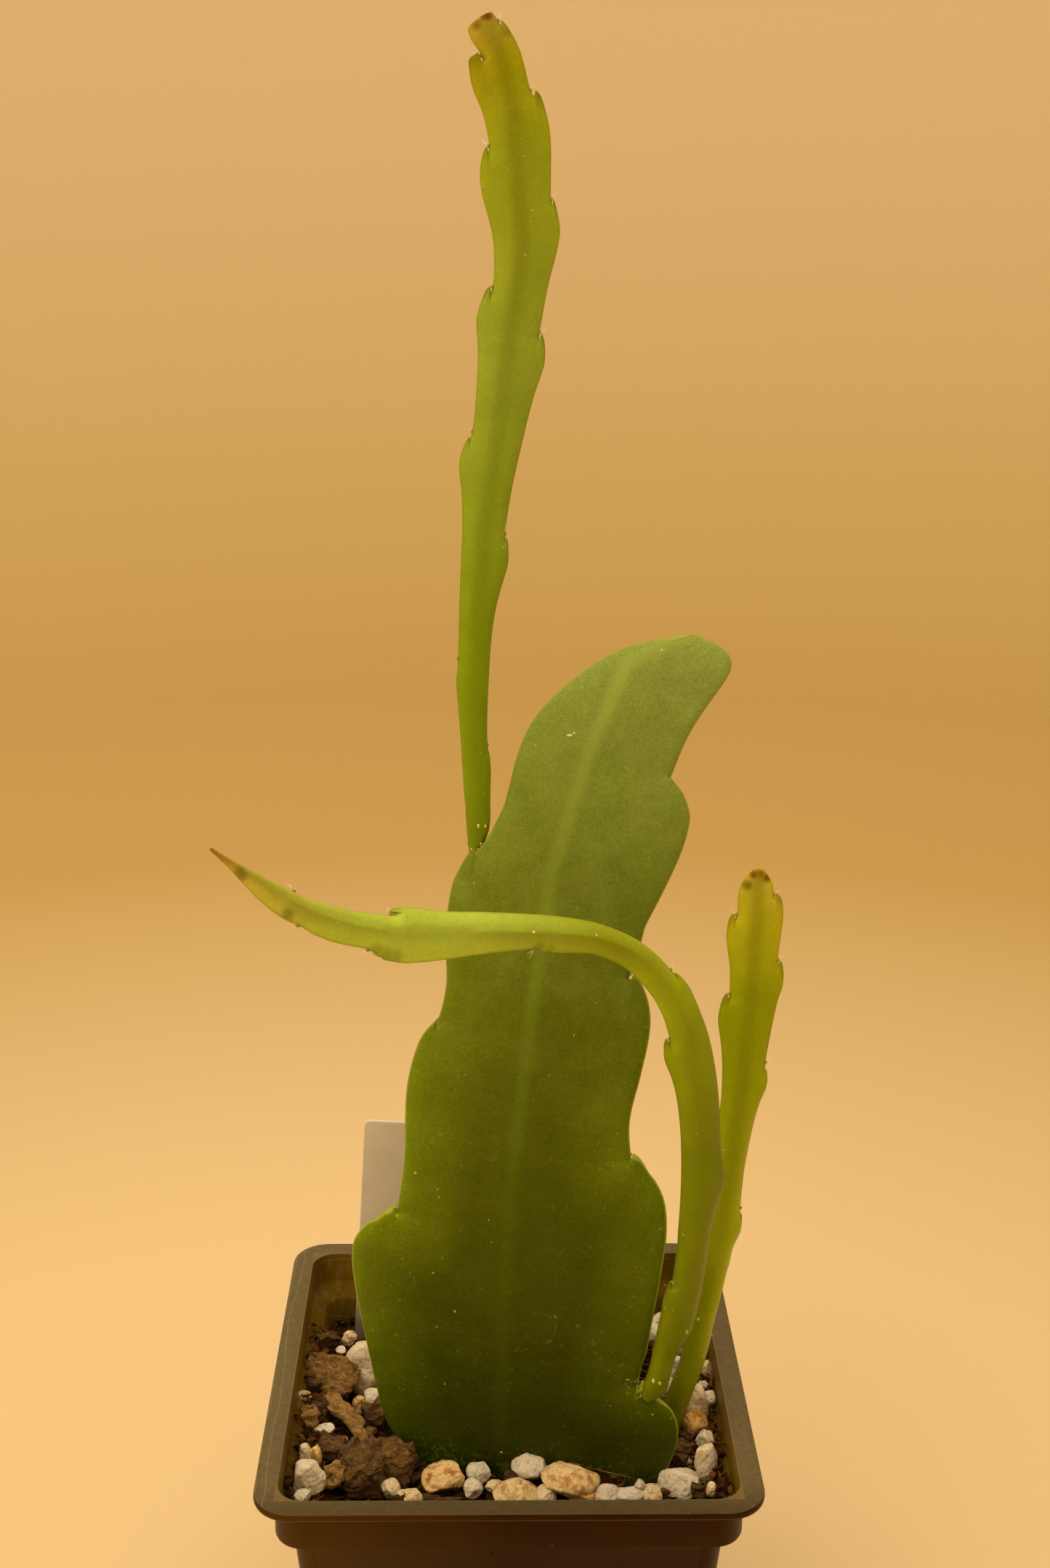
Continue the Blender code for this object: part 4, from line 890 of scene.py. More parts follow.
# %% Pot levels
# the sizes of the CAD model's pot, in millimetres: half widths, corner radii, heights and thicknesses
POT_TOP, RIM_HALF, RIM_CORNER, RIM_THICK = 84.0, 44.5, 7.0, 1.5
BAND_HALF, BAND_CORNER, BAND_FOOT = 41.1, 5.4, 74.2
STEP_HALF, STEP_CORNER = 38.35, 4.6
FOOT_HALF, FOOT_CORNER, WALL, FLOOR = 31.5, 4.0, 0.8, 1.6
DRAIN_PLACE, DRAIN_RADIUS = 19.5, 4.5


def inner_half(height):
    """Half the pot's inner width at a height below the band."""
    return float(np.interp(height, [FLOOR, BAND_FOOT], [FOOT_HALF - WALL, STEP_HALF - WALL]))


under = POT_TOP - RIM_THICK
POT_LEVELS = [  # half width, corner radius, height
    (FOOT_HALF - 0.3, FOOT_CORNER - 0.3, 0.25), (FOOT_HALF, FOOT_CORNER, 1.0),
    (STEP_HALF - 0.1, STEP_CORNER, BAND_FOOT - 0.5), (STEP_HALF + 0.15, STEP_CORNER, BAND_FOOT - 0.15),
    (STEP_HALF + 0.5, STEP_CORNER, BAND_FOOT), (BAND_HALF - 0.5, BAND_CORNER - 0.5, BAND_FOOT),
    (BAND_HALF - 0.15, BAND_CORNER - 0.15, BAND_FOOT + 0.15), (BAND_HALF, BAND_CORNER, BAND_FOOT + 0.5),
    (BAND_HALF, BAND_CORNER, under - 0.3), (BAND_HALF + 0.3, BAND_CORNER + 0.3, under),
    (RIM_HALF - 0.5, RIM_CORNER - 0.5, under), (RIM_HALF - 0.12, RIM_CORNER - 0.12, under + 0.12),
    (RIM_HALF, RIM_CORNER, under + 0.4), (RIM_HALF, RIM_CORNER, POT_TOP - 0.4),
    (RIM_HALF - 0.12, RIM_CORNER - 0.12, POT_TOP - 0.1), (RIM_HALF - 0.45, RIM_CORNER - 0.45, POT_TOP),
    (BAND_HALF - WALL + 0.6, BAND_CORNER - WALL + 0.6, POT_TOP),
    (BAND_HALF - WALL + 0.15, BAND_CORNER - WALL + 0.15, POT_TOP - 0.15),
    (BAND_HALF - WALL, BAND_CORNER - WALL, POT_TOP - 0.6),
    (BAND_HALF - WALL, BAND_CORNER - WALL, BAND_FOOT + WALL + 2.9),
    (BAND_HALF - WALL - 0.2, BAND_CORNER - WALL, BAND_FOOT + WALL + 2.4),
    (STEP_HALF - WALL + 0.2, STEP_CORNER - WALL, BAND_FOOT + WALL + 0.1),
    (STEP_HALF - WALL, STEP_CORNER - WALL, BAND_FOOT + WALL - 0.6),
    (inner_half(FLOOR + 0.8), FOOT_CORNER - WALL, FLOOR + 0.8),
    (inner_half(FLOOR) - 0.8, FOOT_CORNER - 2 * WALL, FLOOR),
]
print("pot levels:", len(POT_LEVELS) + 1)

# %% Pot shape
half_now, corner_now = FOOT_HALF - 1, FOOT_CORNER - 1
bpy.ops.mesh.primitive_plane_add(size=2 * half_now * MM)
pot = bpy.context.object
pot.name = "nursery_pot"
bpy.ops.object.mode_set(mode="EDIT")
bpy.ops.mesh.bevel(offset=corner_now * MM, segments=9, affect="VERTICES")
bpy.ops.object.mode_set(mode="OBJECT")
for half, corner, height in POT_LEVELS:
    select_only(pot)
    bpy.ops.object.mode_set(mode="EDIT")
    bpy.ops.mesh.extrude_region_move(TRANSFORM_OT_translate={"value": (0, 0, MM)})
    bpy.ops.object.mode_set(mode="OBJECT")
    for point in pot.data.vertices:
        if point.select:
            side = [math.copysign(1, point.co[k]) for k in range(2)]
            arc = [side[k] * (point.co[k] / MM - side[k] * (half_now - corner_now)) for k in range(2)]
            turn = math.atan2(max(arc[1], 0), max(arc[0], 0))
            for k, share in enumerate((math.cos(turn), math.sin(turn))):
                point.co[k] = side[k] * (half - corner + corner * share) * MM
            point.co.z = height * MM
    half_now, corner_now = half, corner

for x in (-DRAIN_PLACE, DRAIN_PLACE):
    for y in (-DRAIN_PLACE, DRAIN_PLACE):
        bpy.ops.mesh.primitive_cylinder_add(
            vertices=32, radius=DRAIN_RADIUS * MM, depth=4 * FLOOR * MM, location=(x * MM, y * MM, 0)
        )
        drill = bpy.context.object
        select_only(pot)
        hole = pot.modifiers.new("drain", "BOOLEAN")
        hole.object = drill
        bpy.ops.object.modifier_apply(modifier="drain")
        bpy.data.objects.remove(drill)
bpy.ops.object.shade_smooth_by_angle(angle=math.radians(32))
print("pot:", len(pot.data.polygons), "faces")

# %% [markdown]
# ## Pot plastic
#
# Injection-moulded polypropylene is near black, with a soft gloss and an index of 1.49. Years of watering
# leave it brownish and dusty on every face that looks up, with pale mineral lines inside where the water
# stood. Handling leaves fine pale scratches on the rim. Painted light makes the front lighter towards the
# left, and a thin painted highlight runs under the rim's lower edge.

# %% Dust on the plastic
plastic, tree, shader, place = start_material("dusty_black_polypropylene")
normal = add(tree, "NewGeometry").outputs["Normal"]
where = add(tree, "SeparateXYZ", {0: place})
cloud = add(tree, "TexNoise", {"Vector": place, "Scale": per_mm(9), "Detail": 6.0, "Roughness": 0.65})
body = add(tree, "ValToRGB", {"Fac": cloud}, [(0.3, "1C0B00"), (0.7, "281300")])
facing = add(tree, "SeparateXYZ", {0: normal})
facing_up = facing.outputs["Z"]
dusty = add(tree, "MapRange", {"Value": facing_up, "From Min": 0.2, "From Max": 0.95, "To Max": 0.85},
            interpolation_type="SMOOTHSTEP")
on_rim = add(tree, "MapRange", {"Value": where.outputs["Z"], "From Min": (POT_TOP - 4) * MM,
                                "From Max": (POT_TOP - 1) * MM, "To Min": 0.1, "To Max": 1.0})
wiped = add(tree, "MapRange", {"Value": where.outputs["Y"], "From Min": (1 - RIM_HALF) * MM,
                               "From Max": -36 * MM, "To Min": 0.5, "To Max": 1.0})
powder = add(tree, "TexNoise", {"Vector": place, "Scale": per_mm(1.4), "Detail": 6.0, "Roughness": 0.7})
dust = add(tree, "MapRange", {"Value": powder, "From Min": 0.25, "From Max": 0.7, "To Min": 0.6, "To Max": 1.0})
for factor in (dusty, on_rim, wiped):
    dust = add(tree, "Math", {0: dust, 1: factor}, operation="MULTIPLY")
print("material:", plastic.name)

# %% Inner and outer plastic
level_place = add(tree, "VectorMath", {0: place, 1: (1.0, 1.0, 0.0)}, operation="MULTIPLY")
turned_out = add(tree, "VectorMath", {0: level_place, 1: normal}, operation="DOT_PRODUCT")
inwards = add(tree, "Math", {0: turned_out, 1: -0.01}, operation="LESS_THAN")
within = add(tree, "VectorMath", {0: place}, operation="ABSOLUTE")
reach = add(tree, "SeparateXYZ", {0: within})
farther = add(tree, "Math", {0: reach.outputs["X"], 1: reach.outputs["Y"]}, operation="MAXIMUM")
on_ledge = add(tree, "Math", {0: farther, 1: (BAND_HALF - 0.5 * WALL) * MM}, operation="LESS_THAN")
above_band = add(tree, "Math", {0: where.outputs["Z"], 1: (BAND_FOOT + 0.3 * WALL) * MM},
                 operation="GREATER_THAN")
upward = add(tree, "Math", {0: facing_up, 1: 0.3}, operation="GREATER_THAN")
for factor in (above_band, upward):
    on_ledge = add(tree, "Math", {0: on_ledge, 1: factor}, operation="MULTIPLY")
inside = add(tree, "Math", {0: inwards, 1: on_ledge}, operation="MAXIMUM")
# painted light from the left: the front of the pot is lighter towards its left side
to_left = add(tree, "MapRange", {"Value": where.outputs["X"], "From Min": -42 * MM, "From Max": 0.0,
                                 "To Min": 0.32, "To Max": 0.0})
front = add(tree, "MapRange", {"Value": facing.outputs["Y"], "From Min": -0.95, "From Max": -0.5,
                               "To Min": 1.0, "To Max": 0.15})
to_left = add(tree, "Math", {0: to_left, 1: front}, operation="MULTIPLY")
body = add(tree, "Mix", {0: to_left, 6: body, 7: from_hex("6A4E0C")}, data_type="RGBA")
# the inside walls and the ledge are an olive brown, much lighter than the outside
inside_colour = add(tree, "ValToRGB", {"Fac": cloud}, [(0.3, "54400A"), (0.7, "70580F")])
shell = add(tree, "Mix", {0: inside, 6: body, 7: inside_colour}, data_type="RGBA")
dusted = add(tree, "Mix", {0: dust, 6: shell, 7: from_hex("716A50")}, data_type="RGBA")
print("colour of the clean plastic:", [round(level, 3) for level in from_hex("1C0B00")[:3]])

# %% Lime, scratches and a painted highlight under the rim
above = add(tree, "MapRange", {"Value": where.outputs["Z"], "From Min": 70 * MM, "From Max": (POT_TOP - 1) * MM,
                               "To Min": 1.0, "To Max": 0.3})
drips = add(tree, "Mapping", {"Vector": place, "Scale": (1.0, 1.0, 0.3)})
streaks = add(tree, "TexNoise", {"Vector": drips, "Scale": per_mm(1.5), "Detail": 6.0, "Roughness": 0.7})
lime = add(tree, "MapRange", {"Value": streaks, "From Min": 0.48, "From Max": 0.7, "To Max": 0.85})
left_wall = add(tree, "MapRange", {"Value": where.outputs["X"], "From Min": -36 * MM, "From Max": -20 * MM,
                                   "To Min": 1.0, "To Max": 0.35})
for factor in (inside, above, left_wall):
    lime = add(tree, "Math", {0: lime, 1: factor}, operation="MULTIPLY")
streaked = add(tree, "Mix", {0: lime, 6: dusted, 7: from_hex("8C8058")}, data_type="RGBA")

SWAY = 4.2 * MM  # how far a scratch along the left rim wanders
bend = add(tree, "TexNoise", {"Vector": place, "Scale": per_mm(22), "Detail": 3.0})
scratches = None
for start in (-44.5, -42.9):
    off = add(tree, "Math", {0: bend, 1: SWAY, 2: start * MM - SWAY / 2}, operation="MULTIPLY_ADD")
    gap = add(tree, "Math", {0: where.outputs["X"], 1: off}, operation="SUBTRACT")
    near = add(tree, "Math", {0: gap}, operation="ABSOLUTE")
    line = add(tree, "MapRange", {"Value": near, "From Max": 0.16 * MM, "To Min": 0.45, "To Max": 0.0})
    scratches = line if scratches is None else add(tree, "Math", {0: scratches, 1: line}, operation="MAXIMUM")
for factor in (dusty, streaks):
    scratches = add(tree, "Math", {0: scratches, 1: factor}, operation="MULTIPLY")
scratched_and_edge_highlight = add(tree, "Mix", {0: scratches, 6: streaked, 7: from_hex("B3A88C")}, data_type="RGBA")

grit = add(tree, "TexVoronoi", {"Vector": place, "Scale": per_mm(3.4)})
dots = add(tree, "MapRange", {"Value": grit, "From Min": 0.03, "From Max": 0.06, "To Min": 0.2, "To Max": 0.0})
# painted highlight: a thin pale line just under the rim's lower edge, where its bevel would catch light
under_rim = add(tree, "Math", {0: where.outputs["Z"], 1: (POT_TOP - RIM_THICK + 0.12) * MM},
                operation="SUBTRACT")
near = add(tree, "Math", {0: under_rim}, operation="ABSOLUTE")
line = add(tree, "MapRange", {"Value": near, "From Max": 0.3 * MM, "To Min": 0.3, "To Max": 0.0})
scratched_and_edge_highlight = add(tree, "Mix", {0: line, 6: scratched_and_edge_highlight, 7: from_hex("8A7850")}, data_type="RGBA")
dotted = add(tree, "Mix", {0: dots, 6: scratched_and_edge_highlight, 7: from_hex("B3A88C")}, data_type="RGBA")
rough = add(tree, "MapRange", {"Value": dust, "To Min": 0.42, "To Max": 0.75})
orange_peel = add(tree, "Bump", {"Height": powder, "Strength": 0.25, "Distance": 0.06 * MM})
plug(tree, shader, {"Base Color": dotted, "Roughness": rough, "IOR": 1.49, "Specular IOR Level": 0.2,
                    "Specular Tint": from_hex("FFC260"), "Normal": orange_peel})
finish_piece(pot, plastic, "black_plastic", "pot")

# %% [markdown]
# ## Potting mix
#
# The mix is composted bark and fibre: dark, damp, and made of crumbs from dust up to a few millimetres. Its
# ground is a fine grid that follows the CAD surface, is heaped up at the walls and in front of the old stem,
# and closes down to the pot's floor. A few thousand crumbs and fibres lie on it, placed by a seeded random
# generator so that every run gives the same soil.

# %% Heights of the mix
MIX_TOP, MIX_FALL, MIX_HALF = 68.1, (-1.1, -0.9), 37.2  # height in the middle, and fall from there to the walls
LEDGE = BAND_FOOT + WALL  # height of the pot's inner ledge
mix_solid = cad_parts["potting_mix"]
mix_tree = BVHTree.FromPolygons(
    [point.co / MM for point in mix_solid.data.vertices], [face.vertices[:] for face in mix_solid.data.polygons]
)


def seen_at(x, y, height):
    """The point at a height that a pixel of the picture shows, pixels per millimetre, and the ray's fall."""
    way = ray_through(x, y)
    spot = EYE + way * ((height * MM - EYE.z) / way.z)
    return spot / MM, FOCAL_PIXELS * MM / (spot - EYE).dot(forward), math.asin(-way.z)


def mix_height(x, y):
    """Height of the mix's even surface, in millimetres."""
    return MIX_TOP + MIX_FALL[0] * x / MIX_HALF + MIX_FALL[1] * y / MIX_HALF


HEAP = seen_at(815, 2016, 74.0)[0]  # debris heaped up in front of the old stem


def bank(x, y):
    """How far the mix is heaped up against the left and right walls and the old stem, in millimetres."""
    near = np.interp(abs(x), [29, 36.5], [0, 1]) ** 1.3
    length = np.interp(y, [16, 30], [1, 0]) if x < 0 else np.interp(y, [-34, -28], [0.6, 1])
    return 5.6 * near * length + 5.8 * math.exp(-(((x - HEAP.x) / 9.5) ** 2) - ((y - HEAP.y) / 3.4) ** 2)


def ground_height(x, y):
    """Height of the mix at a place: the CAD surface, even over a stem's hole, heaped up at the walls."""
    hit = mix_tree.ray_cast(Vector((x, y, 100)), Vector((0, 0, -1)))[0]
    even = mix_height(x, y)
    ground = hit.z if hit is not None and hit.z > even - 1.5 else even + 0.6
    return ground + bank(x, y)


print(f"mix at the middle: {ground_height(0, 0):.1f} mm high")

# %% Mix ground
GROUND_HALF, GROUND_CORNER, GROUND_STEPS = inner_half(MIX_TOP) - 0.1, 3.8, 150
bpy.ops.mesh.primitive_grid_add(x_subdivisions=GROUND_STEPS, y_subdivisions=GROUND_STEPS,
                                size=2 * GROUND_HALF * MM)
ground = bpy.context.object
ground.name = "potting_mix_ground"
places = corners(ground) / MM
lumps = 0.9 * rumple(places, 4.5, 1) + 0.55 * rumple(places, 1.9, 2) + 0.3 * rumple(places, 0.8, 3)
for number, (x, y, _) in enumerate(places):
    past = np.maximum(np.abs((x, y)) - (GROUND_HALF - GROUND_CORNER), 0)
    if past.min() > 0:
        past *= past.max() / np.linalg.norm(past)
        x, y = (math.copysign(GROUND_HALF - GROUND_CORNER + past[k], (x, y)[k]) for k in range(2))
    places[number] = (x, y, ground_height(x, y) + lumps[number])
reshape(ground, places * MM)
select_only(ground)
bpy.ops.object.mode_set(mode="EDIT")
bpy.ops.mesh.select_mode(type="EDGE")
bpy.ops.mesh.select_all(action="SELECT")
bpy.ops.mesh.region_to_loop()
depth = MIX_TOP - FLOOR - 4
bpy.ops.mesh.extrude_edges_move(TRANSFORM_OT_translate={"value": (0, 0, -depth * MM)})
narrow = inner_half(MIX_TOP - depth) / GROUND_HALF * 0.985
bpy.ops.transform.resize(value=(narrow, narrow, 0.0), center_override=(0, 0, (FLOOR + 0.5) * MM))
bpy.ops.mesh.edge_face_add()
bpy.ops.object.mode_set(mode="OBJECT")
bpy.ops.object.shade_smooth()
keep_number(ground, "tone", np.full(len(ground.data.vertices), 0.3))
print("ground points:", len(ground.data.vertices))

# %% Shapes of crumbs and fibres
chance = np.random.default_rng(11)
bpy.ops.mesh.primitive_ico_sphere_add(subdivisions=1, radius=1)
crumb_shape = take_shape(bpy.context.object)
bpy.ops.mesh.primitive_cylinder_add(vertices=4, radius=1, depth=2, end_fill_type="TRIFAN")
fibre = bpy.context.object
for face in fibre.data.polygons:
    face.select = abs(face.normal.z) < 0.5
bpy.ops.object.mode_set(mode="EDIT")
bpy.ops.mesh.subdivide_edgering(number_cuts=4)
bpy.ops.object.mode_set(mode="OBJECT")
fibre_shape = take_shape(fibre)


def random_turn(tilt):
    """A random rotation, as three directions. A small tilt keeps the shape's length near level."""
    turn = Matrix.Rotation(chance.uniform(0, 2 * math.pi), 3, "Z")
    tip = Matrix.Rotation(chance.normal(0, tilt), 3, "Y")
    roll = Matrix.Rotation(chance.uniform(0, 2 * math.pi), 3, "X")
    return np.array((turn @ tip @ roll).transposed())


def resting_place(margin):
    """A random place on the mix, or on the ledge where the mix is heaped up to it."""
    x, y = chance.uniform(margin - BAND_HALF + WALL, BAND_HALF - WALL - margin, 2)
    if max(abs(x), abs(y)) < GROUND_HALF - margin / 2:
        return x, y, ground_height(x, y)
    if abs(y) < GROUND_HALF and bank(x, y) > 2.5:
        return x, y, LEDGE + max(abs(x) - GROUND_HALF, 0) * 0.9
    return resting_place(margin)


print("points of a crumb and a fibre:", len(crumb_shape[0]), len(fibre_shape[0]))

# %% Crumbs and fibres
CRUMBS, CHIPS, FIBRES = 5200, 420, 900
copies = []
for _ in range(CRUMBS):
    x, y, z = resting_place(0.7)
    size = 0.28 + 0.75 * chance.power(0.3)
    size = np.array((size * chance.uniform(1, 2.4), size, size * chance.uniform(0.3, 0.8)))
    shape = crumb_shape[0] * (1 + 0.4 * chance.uniform(-1, 1, (len(crumb_shape[0]), 1)))
    middle = (x, y, z + 0.25 * size[2] + 0.5 * (1 + chance.uniform(-1, 1)))
    copies.append((turned(shape, size, middle, random_turn(0.35)), crumb_shape[1], chance.uniform(0, 1) ** 2.2))
for _ in range(CHIPS):
    x, y, z = resting_place(1.6)
    size = np.array((chance.uniform(0.7, 1.6), chance.uniform(0.4, 0.9), chance.uniform(0.2, 0.5)))
    shape = crumb_shape[0] * (1 + 0.35 * chance.uniform(-1, 1, (len(crumb_shape[0]), 1)))
    shape = turned(shape, size, (x, y, z + 0.9), random_turn(0.5))
    copies.append((shape, crumb_shape[1], chance.uniform(0.25, 0.95)))
for _ in range(FIBRES):
    x, y, z = resting_place(2.6)
    long, thick = chance.uniform(1.2, 4.2), chance.uniform(0.04, 0.12)
    shape = fibre_shape[0][:, (2, 0, 1)] * (long, thick, thick)
    shape[:, 2] += chance.uniform(-0.12, 0.12) * shape[:, 0] ** 2
    shape = turned(shape, 1, (x, y, z + 1.1), random_turn(0.2))
    copies.append((shape, fibre_shape[1], chance.uniform(0.4, 1.2)))
crumbs = one_piece("potting_mix_crumbs", copies)
crumbs.data.shade_flat()
print("crumbs, chips and fibres:", len(copies))

# %% Compost
soil, tree, shader, place = start_material("damp_bark_compost")
tone = add(tree, "Attribute", attribute_name="tone").outputs["Fac"]
specks = add(tree, "TexNoise", {"Vector": place, "Scale": per_mm(0.9), "Detail": 5.0, "Roughness": 0.7})
mixed = add(tree, "Math", {0: specks, 1: 0.6, 2: tone}, operation="MULTIPLY_ADD")
colour = add(tree, "ValToRGB", {"Fac": mixed}, [(0.35, "1E0F01"), (0.65, "382106"), (1.0, "684512")])
plug(tree, shader, {"Base Color": colour, "Roughness": 0.85, "Specular IOR Level": 0.15})
crumbly = add(tree, "Bump", {"Height": specks, "Strength": 0.8, "Distance": 0.3 * MM})
plug(tree, shader, {"Normal": crumbly})
finish_piece(ground, soil, "potting_mix", "potting_mix")
finish_piece(crumbs, soil, "potting_mix")

# %% [markdown]
# ## Pumice
#
# Pumice is frozen volcanic foam: light, matte and full of pits, white where it is clean and tan to orange
# where iron has stained it. Each stone starts as a fine sphere, is pressed flat on a few worn sides and scaled
# to its size, and gets lumps from wide noise and pits from narrow noise. One table holds the stones that the
# picture shows, and the other those that it hides.

# %% Stones of pumice in the pot
# seen in the picture: x and y of the middle in pixels, wide and high in pixels, depth in millimetres or 0 for
# as deep as wide, height of the middle above the table in millimetres, tone from white 0 to orange 1
SEEN_STONES = {
    "pumice_front": [
        (536, 2049, 27, 30, 0, 72.6, 0.3), (563, 2061, 37, 28, 0, 71.6, 0.45),
        (612, 2034, 62, 44, 0, 73.0, 0.7), (659, 2026, 33, 31, 0, 73.0, 0.0),
        (649, 2049, 30, 26, 0, 72.2, 0.05), (680, 2047, 27, 21, 0, 71.6, 0.4),
        (727, 2018, 46, 41, 0, 73.8, 0.05), (709, 2061, 64, 46, 0, 72.0, 0.55),
        (783, 2037, 78, 50, 0, 73.8, 0.62), (751, 2058, 28, 28, 0, 72.4, 0.3),
        (797, 2055, 48, 34, 0, 72.2, 1.0), (832, 2058, 42, 36, 0, 72.0, 0.1), (868, 2059, 42, 32, 0, 71.8, 0.0),
        (881, 2046, 17, 24, 0, 73.4, 0.0), (897, 2058, 32, 28, 0, 71.8, 0.4), (938, 2039, 62, 44, 0, 73.4, 0.1),
        (906, 2047, 15, 14, 0, 71.4, 0.0),
    ],
    "pumice_right": [
        (971, 1978, 27, 27, 0, 77.4, 0.15), (970, 2012, 32, 54, 4.4, 77.2, 0.25),
        (957, 1932, 38, 50, 4.6, 77.4, 0.3), (955, 1958, 38, 34, 4.4, 76.4, 1.0),
        (977, 1925, 20, 27, 0, 77.8, 0.15), (967, 1906, 16, 14, 0, 77.6, 0.2),
        (975, 1886, 20, 26, 0, 77.6, 0.35), (979, 2050, 14, 20, 0, 76.8, 0.4),
        (945, 2010, 16, 13, 0, 71.5, 0.1),
    ],
    "pumice_left_front": [
        (425, 2036, 44, 50, 0, 77.0, 0.15), (420, 2003, 22, 28, 0, 77.4, 0.2),
        (433, 2004, 20, 30, 0, 77.0, 0.9), (415, 2060, 30, 20, 0, 76.4, 0.1),
    ],
    "pumice_left_back": [
        (513, 1924, 28, 26, 0, 73.4, 0.05), (501, 1884, 48, 80, 7.0, 75.8, 0.2),
        (494, 1935, 20, 26, 0, 72.6, 0.8), (470, 1858, 15, 11, 0, 76.4, 0.0),
        (481, 1842, 21, 21, 0, 76.4, 0.45), (436, 1875, 22, 22, 0, 76.6, 1.0),
        (446, 1967, 29, 19, 0, 75.4, 0.0), (473, 1983, 13, 13, 0, 74.0, 0.0), (418, 1922, 22, 17, 0, 77.0, 0.5),
    ],
}
# out of the picture's sight: x, y, length, width, height, turn in degrees, middle above the mix, tone
HIDDEN_STONES = {
    "pumice_right": [
        (33.6, 14.6, 6.0, 5.4, 6.6, 25, 5.4, 0.1), (34.6, 20.8, 4.6, 6.2, 5.6, -20, 5.6, 0.4),
        (32.4, 27.6, 7.0, 5.6, 7.0, 10, 5.2, 0.05), (32.6, 33.0, 5.0, 4.0, 4.6, 0, 4.9, 0.2),
        (30.4, 31.0, 5.0, 4.4, 4.6, 0, 4.9, 0.0), (31.6, 9.6, 5.4, 4.4, 4.8, 10, 4.6, 0.0),
    ],
    "pumice_back": [
        (24.0, 31.5, 6.6, 5.6, 5.6, 10, 3.9, 0.15), (15.8, 29.0, 8.0, 6.4, 6.4, -25, 4.2, 0.5),
        (7.0, 31.4, 6.4, 5.8, 5.6, 40, 3.8, 0.1), (-1.2, 28.2, 8.4, 6.0, 6.2, -10, 4.3, 0.35),
        (-9.6, 25.4, 6.6, 5.8, 5.8, 30, 4.1, 0.8), (-14.8, 18.0, 6.4, 6.8, 6.0, 60, 4.0, 0.1),
        (-6.4, 13.6, 7.0, 5.4, 5.6, 10, 3.9, 0.25), (2.6, 12.8, 6.4, 6.0, 5.4, 0, 3.9, 0.6),
        (11.0, 14.6, 7.4, 5.8, 6.0, -30, 4.1, 0.1), (20.0, 15.2, 7.0, 5.8, 5.6, 15, 4.0, 0.3),
    ],
}
print("stones seen and hidden:", *(sum(map(len, table.values())) for table in (SEEN_STONES, HIDDEN_STONES)))

# %% Shape of a stone
WORN_SIDES = 9
bpy.ops.mesh.primitive_ico_sphere_add(subdivisions=5, radius=1)
pebble_shape = take_shape(bpy.context.object)


def pebble(middle, size, turn, seed):
    """One stone's points in metres: a ball with a few worn faces, then lumps and pits."""
    luck = np.random.default_rng(seed)
    ball = pebble_shape[0].copy()
    for _ in range(WORN_SIDES):
        way = luck.normal(size=3)
        way /= np.linalg.norm(way)
        past = np.maximum(ball @ way - luck.uniform(0.6, 0.88), 0)
        ball -= 0.88 * past[:, None] * way
    shape = ball * 1.08 * np.asarray(size) / 2
    small = min(size) / 5
    deep = 0.42 * small * rumple(shape, 2.7, seed) + 0.1 * small * rumple(shape, 1.0, seed + 0.5)
    pits = np.maximum(rumple(shape, 0.45, seed + 0.7) - 0.2, 0)
    shape += pebble_shape[0] * (deep - 0.45 * pits)[:, None]
    return turned(shape, 1, middle, np.array(Matrix.Rotation(math.radians(turn), 3, "Z").transposed()))


def seen_pebble(x, y, wide, high, depth, height, seed):
    """A stone that fills its place in the picture."""
    middle, scale, down = seen_at(x, y, height)
    wide, high = wide / scale, high / scale
    deep = depth or (wide + high) / 2
    tall = math.sqrt(max(high**2 - (deep * math.sin(down)) ** 2, (0.5 * high) ** 2)) / math.cos(down)
    return pebble(middle, (wide, deep, tall), 0, seed)


print("points of a stone:", len(pebble_shape[0]))

# %% Pitted pumice
stone, tree, shader, place = start_material("pitted_pumice")
tone = add(tree, "Attribute", attribute_name="tone").outputs["Fac"]
body = add(tree, "ValToRGB", {"Fac": tone},
           [(0.0, "DCD5C7"), (0.3, "E0D3B4"), (0.6, "E8D09A"), (1.0, "E4BC6C")])
facing_up = add(tree, "SeparateXYZ", {0: add(tree, "NewGeometry").outputs["Normal"]}).outputs["Z"]
under = add(tree, "MapRange", {"Value": facing_up, "From Min": -0.6, "From Max": 0.4, "To Min": 0.6,
                               "To Max": 0.0})
shaded = add(tree, "Mix", {0: under, 6: body, 7: from_hex("A89878")}, data_type="RGBA")
rust = add(tree, "TexNoise", {"Vector": place, "Scale": per_mm(1.9), "Detail": 4.0, "Roughness": 0.6})
spots = add(tree, "MapRange", {"Value": rust, "From Min": 0.48, "From Max": 0.6})
rusty = add(tree, "MapRange", {"Value": tone, "From Min": 0.15, "From Max": 0.7, "To Max": 0.85})
stained = add(tree, "Math", {0: spots, 1: rusty}, operation="MULTIPLY")
colour = add(tree, "Mix", {0: stained, 6: shaded, 7: from_hex("A8661A")}, data_type="RGBA")
holes = add(tree, "TexVoronoi", {"Vector": place, "Scale": per_mm(0.8), "Randomness": 1.0})
shadow = add(tree, "MapRange", {"Value": holes, "From Min": 0.05, "From Max": 0.25, "To Min": 0.6,
                                "To Max": 1.0})
dirt = add(tree, "TexNoise", {"Vector": place, "Scale": per_mm(1.1), "Detail": 6.0, "Roughness": 0.75})
